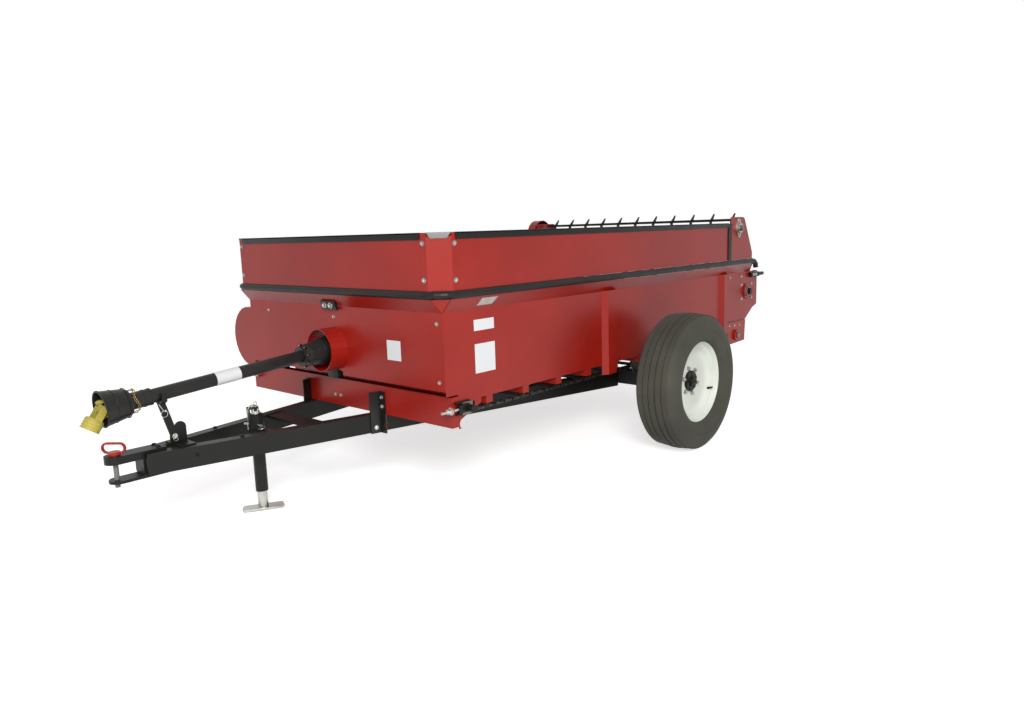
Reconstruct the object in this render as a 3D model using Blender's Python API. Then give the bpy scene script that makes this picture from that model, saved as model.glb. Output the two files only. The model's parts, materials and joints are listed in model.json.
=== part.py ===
"""Box manure spreader: a two-wheel trailer with a slatted apron and two rear beaters.

Metres, +Z up.  The tongue points to -Y and the machine's left side is +X.
Sizes are written from the lower front edge of the box (y = 0); MACHINE, the empty
that every piece hangs from, moves them so that the origin lies on the ground in
the middle of the machine's box.
"""
import math

import bmesh
import bpy
from mathutils import Matrix, Vector

# ---- Driving dimensions ----------------------------------------------------------
SEAT = 0.0003               # gap between two pieces that rest on each other
ROUND = 16                  # sides of a shaft or a bore
BIG_ROUND = 24              # sides of a bell or a guard tube
WHEEL_SIDES = 40

BOX_HALF = 0.745            # half the width over the side sheets
SHEET = 0.004               # side, front and guard sheets
FRONT_BOTTOM = 0.532        # lower edge of the front panel
SIDE_BOTTOM = 0.478
FOLD_Z = 0.858              # where the sheets flare outwards under the rail
FLARE_OUT = 0.049
FLARE_TOP = 0.913
REAR_Y = 2.911              # rear edge of the side sheets
RAIL_R = 0.0165             # round rub rail on the flare
RAIL_CORNER = 0.09
RAIL_END_Y = 2.735
RAIL_DROP = 0.045           # the rail ends bend down this far

MID_POST_Y = (1.092, 1.221)
REAR_POST_Y = (2.365, 2.475)
POST_BEVEL = 0.030
POST_OUT = 0.022

EXT_TOP = 1.1616            # top of the extension sheets, under the trim
EXT_IN = 0.004              # extension sheets stand this far inside the flare's edge
EXT_SHEET = 0.004
EXT_REAR_Y = 2.385
CORNER_BEVEL = 0.071        # slanted face of a corner post
CORNER_LEG = 0.037          # its leg beside the front sheet
CORNER_RETURN = 0.022       # its leg beside the side sheet
FLARE_BEVEL = 0.052         # the flare's corner under the post
TRIM_H = 0.014
TRIM_W = 0.030
UPRIGHT_W = 0.040

FLOOR_T = 0.0145
WALL_Y = 0.16               # inner front wall; the drive lies between it and the panel
WALL_BOTTOM = 0.518
WALL_TOP = 0.80

SILL_PAST_BOX = 0.065       # the sill runs on under the drive guard
SILL_Y = 0.030
SILL_DEPTH = 0.040
SILL_BOTTOM = 0.375
SILL_TOP = 0.504
SILL_T = 0.005

CROSS_COUNT = 10
CROSS_FIRST_Y = 0.257
CROSS_LAST_Y = 2.42
CROSS_W = 0.040
CROSS_H = 0.034
STRINGER_X = 0.35
STRINGER_W = 0.050
STRINGER_H = 0.028

LOOP_Z = 0.4525             # height of both apron shafts
LOOP_R = 0.0475             # from a shaft to the middle of the chain
CHAIN_T = 0.014
CHAIN_W = 0.030
CHAIN_IN = 0.090            # from the side sheet to the middle of a chain
IDLER_Y = 0.105
DRIVE_Y = 2.59
SLAT_PITCH = 0.2485
SLAT_W = 0.030
APRON_SHAFT_R = 0.0175
SLIDER_HALF_Y = 0.024       # take-up slider of the front shaft
SLIDER_HALF_Z = 0.0185
SLIDER_FLANGE = 0.008

WHEEL_Y = 1.498
WHEEL_R = 0.360
TYRE_W = 0.225
WHEEL_REACH = 0.371         # from the side sheet to the outer face of the tyre
RIM_R = 0.217
RIM_BORE = 0.056
DISC_X = 0.0125             # wheel disc outside the middle of the tyre
DISC_R = 0.152
SPINDLE_R = 0.0225
AXLE_TUBE = 0.076
AXLE_DROP = 0.015           # tube centre below the spindles
HANGER_IN = 0.053           # plates that carry the floor frame on the axle
HANGER_T = 0.010

TONGUE_FRONT_Y = -0.921
TONGUE_X0 = 0.266           # outer face of a beam at y = 0
TONGUE_SLOPE = 0.224
TONGUE_W = 0.051
TONGUE_H = 0.083
BRACE_Y = -0.245
BRACE_W = 0.090
BRACE_T = 0.010
UPPER_JAW = (0.356, 0.3865)  # the upper jaw's heights ahead of the beams
LOWER_JAW_BACK = 0.009      # the lower jaw's nose stands this far back
JAW_T = 0.0115              # straps over and under the beams
JAW_HALF = 0.038
JAW_REAR_Y = -0.835
HITCH_PIN_Y = -1.015
HOLDER_Y = -0.785
HOLDER_LEAN = 0.040         # the cradle stands this far ahead of the hinge
HOLDER_PIVOT_RISE = 0.035
CRADLE_HALF = 0.010
CRADLE_WALL = 0.006
CRADLE_GAP = 0.0025         # between the parked driveline and the cradle
HOLDER_PIN_R = 0.006
HITCH_PIN_R = 0.0095
PIN_LOOP_HALF = 0.048       # handle of the pin
PIN_LOOP_RISE = 0.022
PIN_LOOP_R = 0.004

JACK_Y = -0.430
JACK_X = 0.0
JACK_OUTER_R = 0.0265
JACK_LEG_R = 0.0215
JACK_BOTTOM = 0.085
JACK_TOP = 0.430
JACK_LEG_TOP = 0.335
JACK_FOOT_T = 0.008
JACK_FOOT_HALF = 0.088
JACK_FOOT_W = 0.060
JACK_FOOT_TURN = math.radians(61)

PTO_Z = 0.657               # input shaft
PTO_PIVOT_Y = -0.030        # joint of the driveline, inside the rear bell
PTO_DOWN = math.radians(5.0)
GUARD_R = 0.100
GUARD_FRONT_Y = -0.090
GUARD_WALL = 0.004
PIVOT_R = 0.020
TUBE_R = 0.0275
CORE_R = 0.0210
COLLAR_R = 0.0330
DRIVELINE_REAR_END = 0.150  # distances along the driveline from its joint
DRIVELINE_COLLAR = 0.836
DRIVELINE_BELL = 0.925
DRIVELINE_FRONT = 1.020
CROSS_AT = 1.016            # universal joint
CROSS_PIN_R = 0.0075
YOKE_BEND = math.radians(50.0)          # the outer yoke hangs this far from the driveline's line
YOKE_BASE = 0.040           # distances from the universal joint
YOKE_END = 0.085
YOKE_RING_R = 0.0345
YOKE_BORE_R = 0.0178
EAR_IN = 0.0240             # inner face of a yoke's ear
EAR_T = 0.0065
BELL_FRONT_R = 0.070
BELL_REAR_R = 0.056
REAR_BELL_R = 0.068
REAR_BELL_SMALL_R = 0.050

DRIVE_CASE_OUT = 0.030      # middle of the cross-drive guard's round end, outside the box
DRIVE_CASE_R = 0.160
SIDE_SHAFT_OUT = 0.056
SIDE_GUARD_HALF = 0.045
SIDE_GUARD_END_Y = 2.36

LOWER_Y = 2.749
LOWER_Z = 0.728
LOWER_SHAFT_R = 0.022
LOWER_TUBE_R = 0.057
LOWER_TIP_R = 0.200
UPPER_Y = 2.524
UPPER_Z = 1.145
UPPER_SHAFT_R = 0.0175
UPPER_BAR_R = 0.052
TOOTH_LEAN = 0.050          # tip of a tooth from the beater's axis, sideways and upwards
TOOTH_RISE = 0.095
TEETH = 11
TOOTH_PITCH = 0.1435
TEETH_X = 0.026             # the row of teeth stands this far left of the middle
CASE_R = 0.098              # chain case of the beaters, right side
CASE_DEPTH = 0.070
CASE_WALL = 0.003

# ---- Derived sizes ---------------------------------------------------------------
INNER_HALF = BOX_HALF - SHEET
SILL_RIGHT = -BOX_HALF - SILL_PAST_BOX
DRIVE_CASE_X = -BOX_HALF - DRIVE_CASE_OUT
SIDE_SHAFT_X = -BOX_HALF - SIDE_SHAFT_OUT
WHEEL_OUT = BOX_HALF + WHEEL_REACH
HANGER_X = BOX_HALF - HANGER_IN
CHAIN_X = BOX_HALF - CHAIN_IN
FLARE_HALF = BOX_HALF + FLARE_OUT
RAIL_Z = FLARE_TOP + SEAT + RAIL_R
RAIL_OUT = FLARE_HALF - EXT_IN + RAIL_R
EXT_BOTTOM = RAIL_Z + RAIL_R + SEAT
EXT_X = FLARE_HALF - EXT_IN             # outer face of the side extension
EXT_FRONT_Y = -(FLARE_OUT - EXT_IN)     # outer face of the front extension
TRIM_Z = EXT_TOP + SEAT
FLOOR_TOP = SIDE_BOTTOM + FLOOR_T
TONGUE_TOP = SILL_BOTTOM - SEAT
TONGUE_BOTTOM = TONGUE_TOP - TONGUE_H
AXLE_Z = WHEEL_R - AXLE_DROP
AXLE_TOP = AXLE_Z + AXLE_TUBE / 2
TONGUE_REAR_Y = WHEEL_Y - AXLE_TUBE / 2 - SEAT
HUB_IN = WHEEL_OUT - TYRE_W + 0.012
SPINDLE_END = WHEEL_OUT - TYRE_W / 2 + DISC_X
CASE_IN = -(RAIL_OUT + 0.006)           # inner face of the chain case
SPROCKET_R = (LOOP_R - CHAIN_T / 2) * math.cos(math.pi / ROUND) - 2 * SEAT
FLOOR_REAR_Y = DRIVE_Y - SPROCKET_R - 0.006
CROSS_TOP = SIDE_BOTTOM - SEAT
CROSS_BOTTOM = CROSS_TOP - CROSS_H
CROSS_STEP = (CROSS_LAST_Y - CROSS_FIRST_Y) / (CROSS_COUNT - 1)
REAR_END_Y = LOWER_Y + LOWER_TIP_R
CROSS_Y = PTO_PIVOT_Y - CROSS_AT * math.cos(PTO_DOWN)
CROSS_Z = PTO_Z - CROSS_AT * math.sin(PTO_DOWN)
YOKE_DOWN = PTO_DOWN + YOKE_BEND
FRONT_END_Y = CROSS_Y - YOKE_END * math.cos(YOKE_DOWN) - YOKE_RING_R * math.sin(YOKE_DOWN)
CENTRE_Y = (REAR_END_Y + FRONT_END_Y) / 2


# ---- Materials -------------------------------------------------------------------
def paint(name, rgb, roughness, metallic=0.0):
    material = bpy.data.materials.new(name)
    material.use_nodes = True
    shader = material.node_tree.nodes["Principled BSDF"]
    shader.inputs["Base Color"].default_value = (*rgb, 1.0)
    shader.inputs["Roughness"].default_value = roughness
    shader.inputs["Metallic"].default_value = metallic
    material.diffuse_color = (*rgb, 1.0)
    return material


# ---- Shapes: each function returns a bmesh ---------------------------------------
def block(low, high):
    """Box between two corners."""
    low, high = Vector(low), Vector(high)
    shape = bmesh.new()
    bmesh.ops.create_cube(shape, size=1.0)
    bmesh.ops.scale(shape, vec=high - low, verts=shape.verts)
    bmesh.ops.translate(shape, vec=(low + high) / 2, verts=shape.verts)
    return shape


def outward(shape):
    """Makes the faces agree and point out."""
    bmesh.ops.recalc_face_normals(shape, faces=shape.faces)
    if shape.calc_volume(signed=True) < 0:
        bmesh.ops.reverse_faces(shape, faces=shape.faces)
    return shape


TURN = {"X": Matrix.Rotation(math.pi / 2, 4, "Y"), "Y": Matrix.Rotation(-math.pi / 2, 4, "X"), "Z": Matrix()}
OTHERS = {"X": lambda a, b: (0, a, b), "Y": lambda a, b: (a, 0, b), "Z": lambda a, b: (a, b, 0)}


def rod(axis, start, end, radius, centre=(0, 0), sides=ROUND):
    """Cylinder along an axis from start to end; centre is its other two coordinates."""
    shape = bmesh.new()
    bmesh.ops.create_cone(shape, cap_ends=True, segments=sides, radius1=radius, radius2=radius,
                          depth=end - start)
    bmesh.ops.rotate(shape, matrix=Matrix.Rotation(math.pi / sides, 3, "Z"), verts=shape.verts)
    bmesh.ops.translate(shape, vec=(0, 0, (start + end) / 2), verts=shape.verts)
    bmesh.ops.transform(shape, matrix=TURN[axis], verts=shape.verts)
    bmesh.ops.translate(shape, vec=OTHERS[axis](*centre), verts=shape.verts)
    return shape


def prism(plane, outline, low, high):
    """Outline in a plane ("XY", "XZ" or "YZ") pushed from low to high along the third axis."""
    place = {"XY": lambda a, b, c: (a, b, c), "XZ": lambda a, b, c: (a, c, b),
             "YZ": lambda a, b, c: (c, a, b)}[plane]
    shape = bmesh.new()
    face = shape.faces.new([shape.verts.new(place(a, b, low)) for a, b in outline])
    pushed = bmesh.ops.extrude_face_region(shape, geom=[face])
    shift = Vector(place(0, 0, high - low))
    moved = [item for item in pushed["geom"] if isinstance(item, bmesh.types.BMVert)]
    bmesh.ops.translate(shape, vec=shift, verts=moved)
    return outward(shape)


def wedge(bottom, top):
    """Solid between two four-sided loops of points."""
    shape = bmesh.new()
    low = [shape.verts.new(point) for point in bottom]
    high = [shape.verts.new(point) for point in top]
    shape.faces.new(low)
    shape.faces.new(high)
    for i in range(4):
        j = (i + 1) % 4
        shape.faces.new((low[i], low[j], high[j], high[i]))
    return outward(shape)


def turned(axis, profile, centre=(0, 0, 0), sides=BIG_ROUND):
    """Solid turned about an axis from (along, radius) points; the profile is a closed loop."""
    shape = bmesh.new()
    place = {"X": lambda a, r: (a, r, 0), "Y": lambda a, r: (r, a, 0), "Z": lambda a, r: (r, 0, a)}[axis]
    verts = [shape.verts.new(place(a, r)) for a, r in profile]
    edges = [shape.edges.new((verts[i], verts[(i + 1) % len(verts)])) for i in range(len(verts))]
    spin_axis = {"X": (1, 0, 0), "Y": (0, 1, 0), "Z": (0, 0, 1)}[axis]
    bmesh.ops.spin(shape, geom=verts + edges, cent=(0, 0, 0), axis=spin_axis, angle=2 * math.pi,
                   steps=sides, use_merge=True)
    bmesh.ops.remove_doubles(shape, verts=shape.verts, dist=1e-5)
    bmesh.ops.translate(shape, vec=centre, verts=shape.verts)
    return outward(shape)


def moved(shape, matrix):
    bmesh.ops.transform(shape, matrix=matrix, verts=shape.verts)
    return shape


def arc(centre, radius, start, end, steps):
    """Points on an arc, angles in degrees."""
    angles = [math.radians(start + (end - start) * i / steps) for i in range(steps + 1)]
    return [(centre[0] + radius * math.cos(a), centre[1] + radius * math.sin(a)) for a in angles]


def disc(centre, radius):
    """Outline of a full circle with the sides of a shaft."""
    return arc(centre, radius, 0, 360 - 360 / ROUND, ROUND - 1)


def bore(radius, sides=ROUND):
    """Radius of a bore whose flats clear a turning shaft of this radius."""
    return (radius + 0.0004) / math.cos(math.pi / sides)


# ---- Pieces ----------------------------------------------------------------------
MACHINE = None


def helper(name, shape, parent):
    mesh = bpy.data.meshes.new(name)
    shape.to_mesh(mesh)
    shape.free()
    item = bpy.data.objects.new(name, mesh)
    item.hide_render = True
    item.display_type = "WIRE"
    item.parent = parent
    bpy.context.scene.collection.objects.link(item)
    return item


def piece(name, material, shapes, cuts=(), origin=(0, 0, 0)):
    """One object: the first shape, the others joined to it, then the cuts taken away."""
    first, *others = shapes
    mesh = bpy.data.meshes.new(name)
    first.to_mesh(mesh)
    first.free()
    item = bpy.data.objects.new(name, mesh)
    item.data.materials.append(material)
    item.parent = MACHINE
    item.location = origin
    bpy.context.scene.collection.objects.link(item)
    mesh.shade_smooth()
    mesh.set_sharp_from_angle(angle=math.radians(35))
    steps = [("UNION", other) for other in others] + [("DIFFERENCE", cut) for cut in cuts]
    for number, (operation, shape) in enumerate(steps):
        modifier = item.modifiers.new(f"{operation.lower()}_{number}", "BOOLEAN")
        modifier.operation = operation
        modifier.object = helper(f"{name}_{operation.lower()}_{number}", shape, item)
    return item


def both_sides(build):
    """Calls build(label, sign) for the left (+X) and the right (-X) side."""
    for label, sign in (("left", 1), ("right", -1)):
        build(label, sign)


def span(a, b):
    return (a, b) if a < b else (b, a)


def side_block(sign, x_low, x_high, low, high):
    """Box whose x limits are given for the left side and mirrored by the sign."""
    a, b = span(sign * x_low, sign * x_high)
    return block((a, low[0], low[1]), (b, high[0], high[1]))


def side_prism(sign, outline, x_low, x_high):
    """YZ outline pushed along X, mirrored by the sign."""
    a, b = span(sign * x_low, sign * x_high)
    return prism("YZ", outline, a, b)


# ---- Box -------------------------------------------------------------------------
def side_outline():
    """Side sheet seen from the side: front foot, straight bottom, cut-back rear corner."""
    front = SHEET + SEAT
    behind_sill = SILL_Y + SILL_DEPTH + SEAT
    notch = arc((behind_sill + 0.026, 0.385), 0.024, 230, 100, 4)
    return ([(front, FOLD_Z), (front, SILL_TOP + 0.008), (behind_sill, SILL_TOP + 0.008),
             (behind_sill, SILL_BOTTOM - 0.010)] + notch
            + [(0.202, SIDE_BOTTOM - 0.022), (0.206, SIDE_BOTTOM), (2.716, SIDE_BOTTOM),
               (2.727, 0.535), (2.850, 0.612), (REAR_Y, 0.630), (REAR_Y, FOLD_Z)])


def flare(sign):
    """Part of the side sheet that leans out under the rail, bevelled at the front corner."""
    inner, outer = INNER_HALF, BOX_HALF
    low, high, lean = FOLD_Z - 0.002, FLARE_TOP, FLARE_OUT
    front = SHEET + 2 * SEAT
    top_front = front + FLARE_BEVEL - lean
    bottom = [(sign * inner, front, low), (sign * outer, front, low),
              (sign * outer, RAIL_END_Y + 0.065, low), (sign * inner, RAIL_END_Y + 0.065, low)]
    top = [(sign * (inner + lean), top_front, high), (sign * (outer + lean), top_front, high),
           (sign * (outer + lean), RAIL_END_Y, high), (sign * (inner + lean), RAIL_END_Y, high)]
    return wedge(bottom, top)


def post(sign, y_range, z_low, z_high):
    """Hat-section post pressed out of the side sheet."""
    y_low, y_high = y_range
    base = BOX_HALF - 0.001
    outline = [(sign * base, y_low), (sign * base, y_high), (sign * (BOX_HALF + POST_OUT), y_high - POST_BEVEL),
               (sign * (BOX_HALF + POST_OUT), y_low + POST_BEVEL)]
    return prism("XY", outline, z_low, z_high)


def bearings(sign):
    """Plate of the rear apron shaft and flanged bearing of the lower beater."""
    outline = [(2.466, 0.542), (2.728, 0.542), (2.716, 0.405), (2.484, 0.398)]
    return [side_prism(sign, outline, BOX_HALF - 0.002, BOX_HALF + 0.008),
            side_prism(sign, disc((DRIVE_Y, LOOP_Z), 0.036), BOX_HALF + 0.002, BOX_HALF + 0.022),
            side_prism(sign, disc((LOWER_Y, LOWER_Z), 0.050), BOX_HALF - 0.001, BOX_HALF + 0.008),
            side_prism(sign, disc((LOWER_Y, LOWER_Z), 0.034), BOX_HALF + 0.004, BOX_HALF + 0.018)]


def build_side(label, sign):
    sheet = side_prism(sign, side_outline(), INNER_HALF, BOX_HALF)
    rear_flange = side_block(sign, BOX_HALF - 0.030, BOX_HALF, (REAR_Y - SHEET, 0.632), (REAR_Y, FOLD_Z))
    mid = post(sign, MID_POST_Y, SIDE_BOTTOM - 0.050, FOLD_Z + 0.001)
    rear = post(sign, REAR_POST_Y, SIDE_BOTTOM - 0.002, FOLD_Z + 0.001)
    slot = side_block(sign, INNER_HALF - 0.02, BOX_HALF + 0.02,
                      (IDLER_Y - SLIDER_HALF_Y - SEAT, LOOP_Z - SLIDER_HALF_Z - SEAT),
                      (IDLER_Y + SLIDER_HALF_Y + 0.036, LOOP_Z + SLIDER_HALF_Z + SEAT))
    a, b = span(sign * (INNER_HALF - 0.02), sign * (BOX_HALF + 0.05))
    beater_hole = rod("X", a, b, bore(LOWER_SHAFT_R), (LOWER_Y, LOWER_Z))
    drive_hole = rod("X", a, b, bore(APRON_SHAFT_R), (DRIVE_Y, LOOP_Z))
    piece(f"box_side_{label}", RED, [sheet, flare(sign), rear_flange, mid, rear] + bearings(sign),
          [slot, beater_hole, drive_hole])


def corner_facet(sign, low, high):
    """Slanted corner of the flare, a point at the fold and FLARE_BEVEL wide under the rail."""
    out = BOX_HALF + FLARE_OUT
    corners = [(BOX_HALF, 0, low), (out - FLARE_BEVEL, -FLARE_OUT, high), (out, FLARE_BEVEL - FLARE_OUT, high)]
    shape = bmesh.new()
    for x, y, z in corners:
        shape.verts.new((sign * x, y, z))
        shape.verts.new((sign * (x - 0.0015), y + 0.0015, z))
    bmesh.ops.convex_hull(shape, input=shape.verts)
    return outward(shape)


def build_front_panel():
    right_arc = arc((DRIVE_CASE_X, PTO_Z), DRIVE_CASE_R, 100, 252, 12)
    outline = ([(BOX_HALF, FRONT_BOTTOM), (BOX_HALF, FOLD_Z), (-BOX_HALF, FOLD_Z)]
               + [(-BOX_HALF, right_arc[0][1])] + right_arc
               + [(-BOX_HALF, FRONT_BOTTOM - 0.018), (-BOX_HALF + 0.004, FRONT_BOTTOM),
                  (-0.034, FRONT_BOTTOM), (-0.034, FRONT_BOTTOM + 0.036), (0.048, FRONT_BOTTOM + 0.018),
                  (0.048, FRONT_BOTTOM)])
    sheet = prism("XZ", outline, 0, SHEET)
    low, high, lean = FOLD_Z - 0.002, FLARE_TOP, FLARE_OUT
    w = BOX_HALF
    top = w + lean - FLARE_BEVEL
    lean_front = wedge([(-w, 0, low), (w, 0, low), (w, SHEET, low), (-w, SHEET, low)],
                       [(-top, -lean, high), (top, -lean, high), (top, SHEET - lean, high), (-top, SHEET - lean, high)])
    facets = [corner_facet(sign, low, high) for sign in (1, -1)]
    tube = rod("Y", GUARD_FRONT_Y, SHEET / 2, GUARD_R, (0, PTO_Z), BIG_ROUND)
    inside = rod("Y", GUARD_FRONT_Y - 0.01, SHEET + 0.01, GUARD_R - GUARD_WALL, (0, PTO_Z), BIG_ROUND)
    piece("front_panel", RED, [sheet, lean_front, tube] + facets, [inside])


def build_drive_guard():
    """Rim behind the round end of the front panel; it opens towards the box."""
    def outline(r, edge):
        points = arc((DRIVE_CASE_X, PTO_Z), r, 100, 252, 12)
        return [(edge, points[0][1])] + points + [(edge, points[-1][1])]
    low, high = SHEET + SEAT, WALL_Y - 0.010
    edge = -BOX_HALF - SEAT
    outer = prism("XZ", outline(DRIVE_CASE_R, edge), low, high)
    inner = prism("XZ", outline(DRIVE_CASE_R - CASE_WALL, edge + 0.02), low - 0.01, high - CASE_WALL)
    x_out, x_in = SIDE_SHAFT_X - SIDE_GUARD_HALF, edge
    shell = block((x_out, high - 0.001, PTO_Z - SIDE_GUARD_HALF),
                  (x_in, SIDE_GUARD_END_Y, PTO_Z + SIDE_GUARD_HALF))
    hollow = block((x_out + CASE_WALL, high + 0.001, PTO_Z - SIDE_GUARD_HALF + CASE_WALL),
                   (x_in + 0.02, SIDE_GUARD_END_Y - CASE_WALL, PTO_Z + SIDE_GUARD_HALF - CASE_WALL))
    around_post = block((-BOX_HALF - POST_OUT - SEAT, MID_POST_Y[0] - SEAT, PTO_Z - 0.2),
                        (x_in + 0.02, MID_POST_Y[1] + SEAT, PTO_Z + 0.2))
    piece("side_drive_guard", RED, [outer, shell], [inner, hollow, around_post])


def build_front_wall():
    t = SHEET
    half = INNER_HALF - SEAT
    outline = [(WALL_Y, WALL_BOTTOM), (WALL_Y + t, WALL_BOTTOM), (WALL_Y + t, WALL_TOP),
               (SHEET + 0.005, FOLD_Z + t), (SHEET + 0.005, FOLD_Z), (WALL_Y, WALL_TOP - t)]
    piece("front_wall", RED, [prism("YZ", outline, -half, half)])


def build_floor():
    half = INNER_HALF - SEAT
    piece("floor", WOOD, [block((-half, WALL_Y + 0.02, SIDE_BOTTOM), (half, FLOOR_REAR_Y, FLOOR_TOP))])
    shapes = []
    for sign in (-1, 1):
        shapes.append(block((sign * STRINGER_X - STRINGER_W / 2, CROSS_FIRST_Y - 0.03,
                             CROSS_TOP - 0.003 - STRINGER_H),
                            (sign * STRINGER_X + STRINGER_W / 2, CROSS_LAST_Y + 0.03, CROSS_TOP - 0.003)))
    for i in range(CROSS_COUNT):
        y = CROSS_FIRST_Y + i * CROSS_STEP
        low = (-BOX_HALF + 0.002, y - CROSS_W / 2, CROSS_BOTTOM)
        high = (BOX_HALF - 0.002, y + CROSS_W / 2, CROSS_TOP)
        shapes.append(block(low, high))
    piece("floor_frame", RED, shapes)


def build_sill():
    left, right = BOX_HALF, SILL_RIGHT
    rear = SILL_Y + SILL_DEPTH
    web = block((right, SILL_Y, SILL_BOTTOM), (left, SILL_Y + SILL_T, SILL_TOP))
    lower = block((right, SILL_Y + 0.001, SILL_BOTTOM), (left, rear, SILL_BOTTOM + SILL_T))
    upper = block((right, SILL_Y + 0.001, SILL_TOP - SILL_T), (left, rear, SILL_TOP))
    ends = [block((x, SILL_Y + 0.001, SILL_BOTTOM + 0.001), (x + SILL_T, rear - 0.001, SILL_TOP - 0.001))
            for x in (right, left - SILL_T)]
    brackets = []
    x = tongue_x(SILL_Y) + 2 * SEAT
    flat = [(x, SILL_Y - 0.006), (x + 0.040, SILL_Y - 0.006), (x + 0.040, SILL_Y + 0.001), (x, SILL_Y + 0.001)]
    leg = [(tongue_x(y) + SEAT + out, y) for y, out in
           ((SILL_Y - 0.052, 0), (SILL_Y - 0.001, 0), (SILL_Y - 0.001, 0.006), (SILL_Y - 0.052, 0.006))]
    for sign in (1, -1):
        brackets.append(prism("XY", [(sign * a, b) for a, b in flat], TONGUE_BOTTOM - 0.004, SILL_TOP - 0.024))
        brackets.append(prism("XY", [(sign * a, b) for a, b in leg], TONGUE_BOTTOM - 0.0035,
                              SILL_TOP - 0.0245))
    piece("front_sill", RED, [web, lower, upper] + ends + brackets)


# ---- Rail, extension sides and trim ----------------------------------------------
def build_rail():
    x, y, r = EXT_X, EXT_FRONT_Y, RAIL_CORNER
    corner_left = arc((x - r, y + r), r, 0, -90, 6)
    drop = [(RAIL_END_Y + 0.055, RAIL_DROP), (RAIL_END_Y + 0.050, RAIL_DROP * 0.49),
            (RAIL_END_Y + 0.030, RAIL_DROP * 0.13), (RAIL_END_Y, 0)]
    left = [(x, b, RAIL_Z - down) for b, down in drop] + [(a, b, RAIL_Z) for a, b in corner_left]
    path = left + [(-a, b, c) for a, b, c in reversed(left)]
    curve = bpy.data.curves.new("rub_rail", "CURVE")
    curve.dimensions = "3D"
    spline = curve.splines.new("POLY")
    spline.points.add(len(path) - 1)
    for point, place in zip(spline.points, path):
        point.co = (*place, 1)
    curve.bevel_depth = RAIL_R
    curve.bevel_resolution = 4
    curve.use_fill_caps = True
    rail = bpy.data.objects.new("rub_rail", curve)
    curve.materials.append(BLACK)
    rail.parent = MACHINE
    bpy.context.scene.collection.objects.link(rail)


def build_extension():
    post_x = EXT_X - CORNER_BEVEL - CORNER_LEG
    post_y = EXT_FRONT_Y + CORNER_BEVEL + CORNER_RETURN
    front_half = post_x - SEAT
    piece("extension_front", RED, [block((-front_half, EXT_FRONT_Y, EXT_BOTTOM),
                                         (front_half, EXT_FRONT_Y + EXT_SHEET, EXT_TOP))])
    trims = [block((-post_x, EXT_FRONT_Y - 0.006, TRIM_Z),
                   (post_x, EXT_FRONT_Y - 0.006 + TRIM_W, TRIM_Z + TRIM_H))]
    for sign in (1, -1):
        corner = [(post_x - 0.004, EXT_FRONT_Y + 0.012), (post_x - 0.004, EXT_FRONT_Y + TRIM_W - 0.007),
                  (EXT_X - TRIM_W + 0.007, post_y + 0.004), (EXT_X - 0.012, post_y + 0.004)]
        trims.append(prism("XY", [(sign * a, b) for a, b in corner], TRIM_Z + 0.0004, TRIM_Z + TRIM_H - 0.001))
        trims.append(side_block(sign, EXT_X + 0.006 - TRIM_W, EXT_X + 0.006, (post_y, TRIM_Z + 0.0002),
                                (EXT_REAR_Y + SEAT + 0.002, TRIM_Z + TRIM_H + 0.0002)))
        trims.append(side_block(sign, EXT_X - TRIM_W, EXT_X + 0.005, (EXT_REAR_Y + SEAT, EXT_BOTTOM),
                                (EXT_REAR_Y + SEAT + SHEET, TRIM_Z + TRIM_H - 0.001)))
        trims.append(side_block(sign, EXT_X + SEAT, EXT_X + 0.0055,
                                (EXT_REAR_Y + SEAT + 0.001, EXT_BOTTOM + 0.0005),
                                (EXT_REAR_Y + UPRIGHT_W, TRIM_Z + TRIM_H - 0.002)))
    piece("top_trim", BLACK, trims)

    def side(label, sign):
        piece(f"extension_{label}", RED, [side_block(sign, EXT_X - EXT_SHEET, EXT_X, (post_y + SEAT, EXT_BOTTOM),
                                                     (EXT_REAR_Y, EXT_TOP))])

        def line(inset):
            cut = CORNER_BEVEL - 0.4 * inset
            return [(post_x, EXT_FRONT_Y + inset), (EXT_X - inset - cut, EXT_FRONT_Y + inset),
                    (EXT_X - inset, EXT_FRONT_Y + inset + cut), (EXT_X - inset, post_y)]
        outline = line(0) + list(reversed(line(EXT_SHEET)))
        outline = [(sign * a, b) for a, b in outline]
        piece(f"corner_post_{label}", RED_POST, [prism("XY", outline, EXT_BOTTOM, EXT_TOP)])
    both_sides(side)


# ---- Tongue, hitch and jack ------------------------------------------------------
def tongue_x(y):
    return TONGUE_X0 + TONGUE_SLOPE * y


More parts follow.
